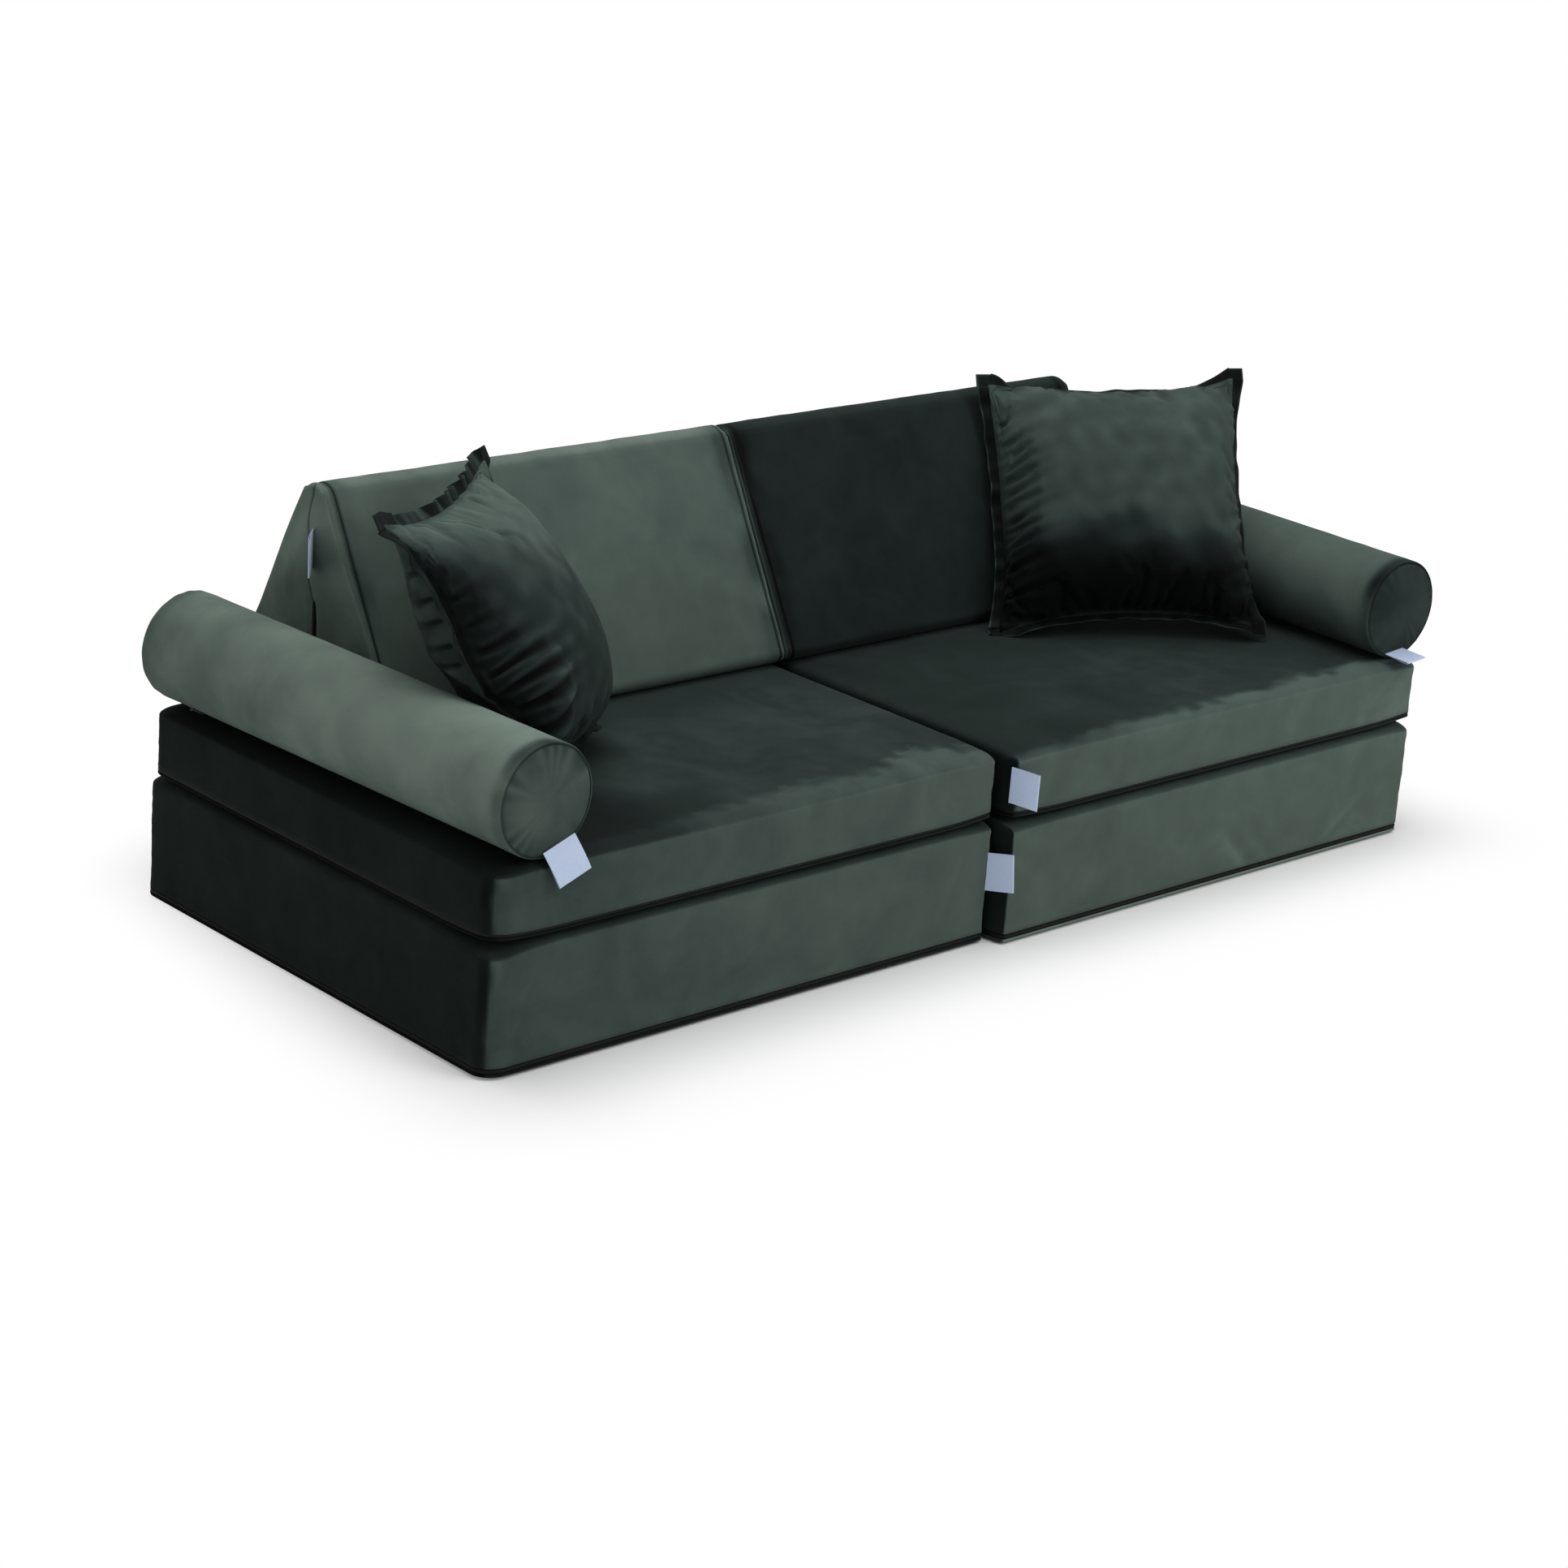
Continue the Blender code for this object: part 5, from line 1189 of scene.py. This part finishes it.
def pillow_pile_and_light(u, v, tones, seed):
    """Tone of the front panel and the flange: low, mid and high one above the other, painted light from above that
    leaves the bottom darkest, brushed in soft patches.

    The flange has its own tone, with lighter or darker rim (lighter as a painted highlight along its edge), crimps
    and seam."""
    spot = np.stack([np.clip(u, -1, 1), np.clip(v, -1, 1)], -1)
    height = np.clip(v, -1, 1) + tones["slope"] * u + 0.10 * drift(spot, 0.5, seed + 40)
    fall, rise = tones["fall"]
    pile_and_painted_light = tones["low"] + (tones["mid"] - tones["low"]) * ease(height, fall, rise)
    pile_and_painted_light = pile_and_painted_light + (tones["high"] - tones["mid"]) * ease(height, rise, 1.0)
    beside = np.clip(-u, 0, 1) ** 2 * (1 - ease(v, 0.55, 0.9))
    pile_and_painted_light = pile_and_painted_light + 0.04 * drift(spot, 0.22, seed + 41) + tones["beside"] * beside
    edge = np.maximum(abs(u), abs(v))
    rim = 1 + FLANGE_LAP / FLANGE_WIDTH
    flange = tones["flange"] + 0.14 * drift(spot, 0.16, seed + 42) + tones["rim"] * bump(edge, 2.0, 0.10)
    # Along the top, one side of each crimp gets a painted highlight
    crimped = (v > 1) * (abs(u) < 0.98) * tones["crimped"]
    flange = flange + crimped * ease(ruffle(u + 0.07, seed + 35), -0.2, 0.2)
    seam = np.where((v < -1) & (abs(u) < 1.1), tones["low_seam"], -0.15)
    return np.where(edge > rim, flange, pile_and_painted_light) + seam * bump(edge, rim, 0.06)


# Labels: a satin ribbon folded in two, both ends sewn into a seam

LABEL_THICKNESS = 0.4 * MM
LABEL_FOLD = 1.1 * MM
LABEL_UPWARD = np.array([0.3, -0.2, 1.0])


def label_frame(name, body, level):
    """A label node's root, width and length, and its axes: wide, long (out of the body) and thin (upwards).

    level is the share of its slope that the ribbon keeps."""
    corners = np.array([v.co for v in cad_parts[name].data.vertices])
    centre = corners.mean(0)
    axes = np.linalg.svd(corners - centre, full_matrices=False)[2]
    spread = (corners - centre) @ axes.T
    width, length, _ = spread.max(0) - spread.min(0)
    wide, outward, _ = axes
    if (centre - sum(box_of(body + "_cover")) / 2) @ outward < 0:
        outward = -outward
    long = outward * np.array([1.0, 1.0, level])
    long = long / np.linalg.norm(long)
    wide = wide - long * (wide @ long)
    wide = wide / np.linalg.norm(wide)
    thin = np.cross(long, wide)
    thin = thin * np.sign(thin @ LABEL_UPWARD)
    middle = centre + axes.T @ ((spread.max(0) + spread.min(0)) / 2)
    return middle - outward * length / 2, width, length, (wide, long, thin)


def ribbon_line(length, curl):
    """The folded ribbon's line (outward, upward): along one leaf, round the fold and back along the other."""
    steps = np.linspace(0, 1, 22)
    gap = LABEL_THICKNESS * 0.6 + LABEL_FOLD * ease(steps, 0, 1)
    fold = np.linspace(-math.pi / 2, math.pi / 2, 9)[1:-1]
    reach = (length - gap[-1]) * steps
    turned = np.stack([reach[-1] + gap[-1] * np.cos(fold), gap[-1] * np.sin(fold)], 1)
    line = np.concatenate([np.stack([reach, -gap], 1), turned, np.stack([reach, gap], 1)[::-1]])
    line[:, 1] += curl * (line[:, 0] / length) ** 2
    return line


def add_label(name, body, curl, droop, out, level=1.0):
    """A ribbon where its node lies: the folded line with a thickness, carried across the width, and drooping."""
    root, width, length, (wide, long, thin) = label_frame(name, body, level)
    line = ribbon_line(length, curl)
    share = line[:, 0] / length
    step = np.gradient(line, axis=0)
    side = np.stack([-step[:, 1], step[:, 0]], 1) / np.linalg.norm(step, axis=1)[:, None]
    ring = np.concatenate([line + side * LABEL_THICKNESS / 2, (line - side * LABEL_THICKNESS / 2)[::-1]])
    fall = droop * np.concatenate([share, share[::-1]]) ** 1.5
    across = np.linspace(-0.5, 0.5, 9) * width
    grid = root + long * out + ring[:, None, :1] * long + ring[:, None, 1:] * thin + across[None, :, None] * wide
    grid = grid - fall[:, None, None] * np.array([0.0, 0.0, 1.0])
    rows, columns = grid.shape[:2]
    numbers = np.arange(rows * columns).reshape(rows, columns)
    quads = [layer_quads(np.concatenate([numbers, numbers[:1]]))]
    half = rows // 2
    for column in (0, columns - 1):
        a, b = numbers[:half, column], numbers[: half - 1 : -1, column]
        quads.append(np.stack([a[:-1], a[1:], b[1:], b[:-1]], 1))
    piece = add_piece(name + "_ribbon", grid.reshape(-1, 3), np.concatenate(quads))
    turn_out(piece)
    piece.data.materials.append(LOOKS["label_ribbon"])
    piece.data.set_sharp_from_angle(angle=math.radians(50))
    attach(piece, body)
    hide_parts(name)


def turn_out(piece):
    """Faces turned outwards."""
    made = bmesh.new()
    made.from_mesh(piece.data)
    bmesh.ops.recalc_face_normals(made, faces=made.faces)
    made.to_mesh(piece.data)
    made.free()


# Materials

# Tones along each finish's mask: place from 0 to 1, and colour
TONES = {
    "velvet": (
        (0.0, (0.0010, 0.0016, 0.0014)),
        (0.2, (0.0043, 0.0075, 0.0069)),
        (0.4, (0.0133, 0.0210, 0.0193)),
        (0.6, (0.0345, 0.0500, 0.0450)),
        (0.8, (0.0740, 0.1000, 0.0870)),
        (1.0, (0.1450, 0.1900, 0.1610)),
    ),
    "zip_tape": ((0.0, (0.0016, 0.0018, 0.0018)), (1.0, (0.0050, 0.0055, 0.0055))),
    "zip_coil": ((0.0, (0.0018, 0.0020, 0.0020)), (1.0, (0.0060, 0.0064, 0.0064))),
    "zip_metal": ((0.45, (0.030, 0.030, 0.032)), (0.8, (0.110, 0.110, 0.112))),
    "label_ribbon": ((0.0, (0.335, 0.41, 0.57)), (1.0, (0.515, 0.61, 0.80))),
}


def new_node(tree, kind, inputs=None, **settings):
    """A shader node. An input that is another node's output is linked, any other is set on its socket."""
    node = tree.nodes.new("ShaderNode" + kind)
    for key, value in settings.items():
        setattr(node, key, value)
    for key, value in (inputs or {}).items():
        if isinstance(value, bpy.types.NodeSocket):
            tree.links.new(value, node.inputs[key])
        else:
            node.inputs[key].default_value = value
    return node


def math_node(tree, operation, *values):
    """The outcome of one sum on numbers or other nodes' outputs."""
    return new_node(tree, "Math", dict(enumerate(values)), operation=operation).outputs["Value"]


def speckle(tree, **inputs):
    """Noise of about 0 to 1 on Object coordinates."""
    place = new_node(tree, "TexCoord").outputs["Object"]
    return new_node(tree, "TexNoise", {"Vector": place, **inputs}).outputs["Fac"]


def make_grain():
    """Node group: fine fibres of a cloth, so many to the metre. Value is about 0 to 1."""
    group = bpy.data.node_groups.new("cloth_grain", "ShaderNodeTree")
    group.interface.new_socket("Fineness", in_out="INPUT", socket_type="NodeSocketFloat")
    group.interface.new_socket("Value", in_out="OUTPUT", socket_type="NodeSocketFloat")
    entry = group.nodes.new("NodeGroupInput")
    leave = group.nodes.new("NodeGroupOutput")
    fibres = speckle(group, Scale=entry.outputs["Fineness"], Detail=3, Roughness=0.65)
    group.links.new(fibres, leave.inputs["Value"])
    return group


GRAIN = make_grain()


def fibres_of(tree, fineness):
    """The cloth's grain, placed in a material with its own fineness."""
    return new_node(tree, "Group", {"Fineness": fineness}, node_tree=GRAIN).outputs["Value"]


def new_material(name, finish):
    """A material whose shader has the finish's even values, with its node tree and shader."""
    material = bpy.data.materials.new(name)
    material.use_nodes = True
    shader = material.node_tree.nodes["Principled BSDF"]
    for key, value in finish.items():
        shader.inputs[key].default_value = value
    return material, material.node_tree, shader


def tone(tree, shader, name, mask):
    """Base colour: the finish's tones along the mask."""
    ramp = new_node(tree, "ValToRGB", {"Fac": mask})
    stops = ramp.color_ramp.elements
    while len(stops) < len(TONES[name]):
        stops.new(0.5)
    for stop, (place, colour) in zip(stops, TONES[name]):
        stop.position = place
        stop.color = (*colour, 1)
    tree.links.new(ramp.outputs["Color"], shader.inputs["Base Color"])


def emboss(tree, shader, height, depth, strength=1.0):
    """Fine relief from a height of 0 to 1."""
    relief = new_node(tree, "Bump", {"Height": height, "Distance": depth, "Strength": strength})
    tree.links.new(relief.outputs["Normal"], shader.inputs["Normal"])


def make_velvet():
    """Velvet: the pile's tone, with its painted light and shade, comes from a value per point, shifted by brushed
    patches, strokes and fine fibres.
    """
    material, tree, shader = new_material(
        "velvet",
        {
            "Roughness": 0.85,
            "Specular IOR Level": 0.08,
            "Sheen Weight": 0.03,
            "Sheen Roughness": 0.4,
            "Sheen Tint": (0.55, 0.68, 0.62, 1),
        },
    )
    patches = speckle(tree, Scale=7, Detail=4, Roughness=0.55, Distortion=0.8)
    strokes = speckle(tree, Scale=34, Detail=2)
    fibres = fibres_of(tree, 900)
    pile_and_painted_light = new_node(tree, "Attribute", attribute_name="pile_and_painted_light").outputs["Fac"]
    for mask, swing in ((patches, 0.22), (strokes, 0.07), (fibres, 0.10)):
        pile_and_painted_light = math_node(tree, "ADD", pile_and_painted_light, math_node(tree, "MULTIPLY_ADD", mask, swing, -swing / 2))
    tone(tree, shader, "velvet", pile_and_painted_light)
    emboss(tree, shader, fibres, 0.6 * MM, 0.35)
    return material


def make_cloth(name, fineness, depth, finish):
    """Tape or ribbon: toned and embossed by its weave."""
    material, tree, shader = new_material(name, finish)
    weave = fibres_of(tree, fineness)
    tone(tree, shader, name, weave)
    emboss(tree, shader, weave, depth)
    return material


def make_hard(name, specks, finish):
    """Coil or metal: toned in small specks."""
    material, tree, shader = new_material(name, finish)
    tone(tree, shader, name, speckle(tree, **specks))
    return material


LOOKS = {
    "velvet": make_velvet(),
    "zip_tape": make_cloth("zip_tape", 1400, 0.4 * MM, {"Roughness": 0.9, "Specular IOR Level": 0.12}),
    "label_ribbon": make_cloth("label_ribbon", 700, 0.2 * MM, {"Roughness": 0.45, "Sheen Weight": 0.2}),
    "zip_coil": make_hard("zip_coil", {"Scale": 300}, {"Roughness": 0.55, "Specular IOR Level": 0.2}),
    "zip_metal": make_hard("zip_metal", {"Scale": 260, "Detail": 4}, {"Roughness": 0.34, "Metallic": 0.9}),
}


# Floor and light

FLOOR_SIZE = 14.0
FLOOR_DROP = 0.5 * MM
FADE_SQUEEZE = 0.70
FADE_LEAN = 0.12
FADE_ASIDE = 0.56
FADE_AHEAD = 0.45
FADE_START, FADE_END = 0.03, 0.28
ROOM_STRENGTH = 0.56
# Place, width and power of each lamp
LAMPS = {"key": ((1.2, -3.2, 3.4), 3.0, 70), "top": ((-0.2, 0.2, 3.8), 3.2, 75)}
LAMP_AIM = (0, 0, 0.3)


def mix_shaders(tree, share, first, second, output):
    """Two shaders mixed by the share of the second, led to the tree's output."""
    mix = new_node(tree, "MixShader", {0: share, 1: first, 2: second})
    tree.links.new(mix.outputs["Shader"], tree.nodes[output].inputs["Surface"])


def make_floor():
    """A pale floor that keeps the sofa's soft shadow and fades to plain white away from it.

    The fade goes by the distance from the sofa's rounded footprint: past FADE_ASIDE along X, squeezed and leaning a
    little with Y, and past FADE_AHEAD along Y."""
    corners = [(x * FLOOR_SIZE, y * FLOOR_SIZE, 0) for x, y in ((-1, -1), (1, -1), (1, 1), (-1, 1))]
    floor = add_piece("floor", corners, [(0, 1, 2, 3)])
    floor.location.z = -FLOOR_DROP
    finish = {"Base Color": (0.86, 0.86, 0.86, 1), "Roughness": 0.9, "Specular IOR Level": 0.1}
    material, tree, shader = new_material("pale_floor", finish)
    place = new_node(tree, "SeparateXYZ", {"Vector": new_node(tree, "TexCoord").outputs["Object"]})
    x, y = place.outputs["X"], place.outputs["Y"]
    lean = math_node(tree, "MULTIPLY_ADD", y, FADE_LEAN, -FADE_ASIDE)
    aside = math_node(tree, "MULTIPLY_ADD", math_node(tree, "ABSOLUTE", x), FADE_SQUEEZE, lean)
    ahead = math_node(tree, "SUBTRACT", math_node(tree, "ABSOLUTE", y), FADE_AHEAD)
    squares = [math_node(tree, "POWER", math_node(tree, "MAXIMUM", gap, 0.0), 2.0) for gap in (aside, ahead)]
    distance = math_node(tree, "SQRT", math_node(tree, "ADD", *squares))
    spans = {"Value": distance, "From Min": FADE_START, "From Max": FADE_END}
    fade = new_node(tree, "MapRange", spans, interpolation_type="SMOOTHSTEP").outputs["Result"]
    seen = math_node(tree, "MULTIPLY", fade, new_node(tree, "LightPath").outputs["Is Camera Ray"])
    white = new_node(tree, "Emission").outputs["Emission"]
    mix_shaders(tree, seen, shader.outputs["BSDF"], white, "Material Output")
    floor.data.materials.append(material)


def make_light():
    """Even white surroundings, and two large soft lamps above the front."""
    world = bpy.data.worlds.new("studio")
    world.use_nodes = True
    bpy.context.scene.world = world
    tree = world.node_tree
    white = (1, 1, 1, 1)
    around = tree.nodes["Background"]
    around.inputs["Color"].default_value = white
    around.inputs["Strength"].default_value = ROOM_STRENGTH
    behind = new_node(tree, "Background", {"Color": white}).outputs["Background"]
    seen = new_node(tree, "LightPath").outputs["Is Camera Ray"]
    mix_shaders(tree, seen, around.outputs["Background"], behind, "World Output")
    for name, (place, width, power) in LAMPS.items():
        lamp = bpy.data.lights.new(name, "AREA")
        lamp.shape = "DISK"
        lamp.size = width
        lamp.energy = power
        holder = bpy.data.objects.new(name, lamp)
        bpy.context.scene.collection.objects.link(holder)
        holder.location = place
        holder.rotation_euler = (Vector(LAMP_AIM) - Vector(place)).to_track_quat("-Z", "Y").to_euler()
    bpy.context.scene.view_settings.view_transform = "Standard"


# Assembly

# Tones of the pile, with painted light and shade, go from 0, dark, to 1, light. A mattress has the front's from left
# to right, growing lighter to the right as painted light, those of back, end and top, how much darker the front's
# band is on the top and how far it reaches there on the left and right, what the strip under the zip loses as
# painted shade, and a painted shade that grows over the top towards the left
BASE_TONES = {
    "front": (0.63, 0.75),
    "back": 0.5,
    "end": 0.26,
    "top": 0.40,
    "band": 0.20,
    "reach": (60 * MM, 60 * MM),
    "under": 0.45,
    "shade": 0.0,
    "shaded": (0.5, 1.0),
}
SEAT_TONES = dict(BASE_TONES, end=0.22, band=0.06)
SEAT = {"zip_rise": SEAT_ZIP_HEIGHT, "lift": 5 * MM, "lip_drop": LIP_DROP}
SEAT_LEFT_TONES = dict(
    SEAT_TONES, front=(0.60, 0.76), top=0.45, reach=(16 * MM, 74 * MM), shade=0.26, shaded=(0.5, 0.75)
)
SEAT_RIGHT_TONES = dict(SEAT_TONES, front=(0.74, 0.82), top=0.42, reach=(20 * MM, 46 * MM), shade=0.10)
BASE_RIGHT_TONES = dict(BASE_TONES, front=(0.73, 0.81), under=-0.20)
BASE_RIGHT_PULLS = ((0.534, -1.0, 1.0), (0.590, -1.0, 0.8), (0.770, 1.5, 0.7))
add_mattress("base_left", BASE_ZIP_HEIGHT, BASE_TONES, 1, fall=9 * MM)
add_mattress("base_right", BASE_ZIP_HEIGHT, BASE_RIGHT_TONES, 11, pulls=BASE_RIGHT_PULLS)
add_mattress("seat_left", tones=SEAT_LEFT_TONES, seed=21, fall=1 * MM, **SEAT)
add_mattress("seat_right", tones=SEAT_RIGHT_TONES, seed=31, **SEAT)
# A wedge's ridge tone, lighter than its front, is a painted sheen highlight
add_wedge("back_left", {"front": (0.79, 0.70), "back": 0.5, "end": 0.87, "ridge": 0.88}, (8 * MM, 0.8 * MM), 41)
add_wedge("back_right", {"front": (0.28, 0.28), "back": 0.5, "end": 0.6, "ridge": 0.40}, (0.8 * MM, 8 * MM), 51)
add_bolster("left", {"tube": 0.96, "end": 0.69}, PLEAT_DEPTH, 61)
add_bolster("right", {"tube": 0.74, "end": 0.48}, 0.35 * PLEAT_DEPTH, 71)

# Each pillow's form, tones with painted light and shade, front wrinkles and back puckers, with place along their
# side, reach, tilt and share
PILLOWS = {
    "left": {
        "form": {
            "bends": (0.4, 0.5, 0.0, 0.3),
            "arches": (8 * MM, 30 * MM),
            "curl": 34 * MM,
            "fuller": 0.35,
            "corners": (),
            "crimp": 6 * MM,
        },
        "tones": {
            "high": 0.74, "mid": 0.38, "low": 0.35, "fall": (-0.9, -0.1), "slope": 0.40, "beside": -0.24,
            "back": 0.46, "crumple": 0.12, "wrinkle": 0.24,
            "flange": 0.16, "rim": 0.06, "crimped": 0.26, "low_seam": -0.15,
        },
        "pinches": {
            "left": [
                (-0.74, 0.50, 0.10, 1.2), (-0.60, 0.60, 0.08, 1.5), (-0.45, 0.66, 0.06, 1.8),
                (-0.30, 0.70, 0.04, 1.8), (-0.15, 0.60, 0.02, 1.5), (0.02, 0.44, 0.0, 1.0),
                (0.20, 0.34, 0.0, 0.6), (0.40, 0.30, 0.0, 0.5),
            ],
            "top": [
                (-0.60, 0.18, 0.05, 0.5), (-0.25, 0.40, 0.30, 0.7), (0.05, 0.20, 0.0, 0.4),
                (0.35, 0.20, -0.05, 0.4), (0.62, 0.18, -0.05, 0.4),
            ],
            "low": [(-0.35, 0.30, 0.1, 0.8), (0.25, 0.25, 0.0, 0.6)],
            "right": [(-0.4, 0.3, -0.05, 0.5)],
        },
        "puckers": {
            "left": [(spot, 0.24, 0.0, 1.3) for spot in (-0.75, -0.55, -0.36, -0.2, -0.02, 0.12, 0.3, 0.46, 0.66)]
        },
        "seed": 81,
    },
    "right": {
        "form": {
            "bends": (0.65, 0.95, -0.7, 1.05),
            "arches": (22 * MM, 8 * MM),
            "curl": 0.0,
            "fuller": 0.0,
            "corners": ((1, 1, 0.0, 12 * MM), (-1, -1, -10 * MM, -6 * MM)),
            "crimp": 0.0,
        },
        "tones": {
            "high": 0.62, "mid": 0.55, "low": 0.02, "fall": (-0.84, -0.16), "slope": 0.10, "beside": 0.0,
            "back": 0.4, "crumple": 0.03, "wrinkle": 0.06,
            "flange": 0.05, "rim": 0.42, "crimped": 0.0, "low_seam": 0.34,
        },
        "pinches": {
            "left": [
                (0.62, 0.36, 0.10, 0.4), (0.44, 0.42, 0.10, 0.6), (0.24, 0.46, 0.12, 0.8),
                (0.03, 0.42, 0.10, 0.8), (-0.19, 0.40, 0.08, 0.7), (-0.40, 0.42, 0.06, 0.8),
                (-0.58, 0.36, 0.05, 0.7), (-0.78, 0.36, 0.02, 0.7),
            ],
            "right": [
                (0.62, 0.20, -0.05, 0.3), (0.20, 0.20, -0.10, 0.4), (-0.12, 0.28, -0.16, 0.8),
                (-0.52, 0.34, -0.22, 0.8), (-0.70, 0.26, -0.10, 0.6),
            ],
            "top": [(-0.55, 0.18, 0.0, 0.4), (0.35, 0.18, 0.0, 0.4)],
            "low": [(0.02, 0.22, 0.0, 0.5), (0.16, 0.20, 0.0, 0.4), (0.66, 0.30, -0.1, 0.7)],
        },
        "puckers": {"low": [(spot, 0.14, 0.0, 0.7) for spot in (-0.6, -0.2, 0.2, 0.6)]},
        "seed": 91,
    },
}
for side, pillow in PILLOWS.items():
    add_pillow(side, **pillow)

# Each label's body, curl, droop, how far it stands out and, for the flattest one, the share of its slope it keeps
LABELS = {
    "label_base_left": ("base_left", 2 * MM, 0.0, -2 * MM),
    "label_seat_right": ("seat_right", 6 * MM, 6 * MM, 0.0),
    "label_back_left": ("back_left", 4 * MM, 0.0, 15 * MM),
    "label_bolster_left": ("bolster_left", -3 * MM, 5 * MM, 0.0),
    "label_bolster_right": ("bolster_right", 1 * MM, 1 * MM, 0.0, 0.35),
}
for name, (body, *shape) in LABELS.items():
    add_label(name, body, *shape)

for name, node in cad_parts.items():
    if name.endswith(("_slider", "_pull")):
        node.data.materials.clear()
        node.data.materials.append(LOOKS["zip_metal"])

make_floor()
make_light()
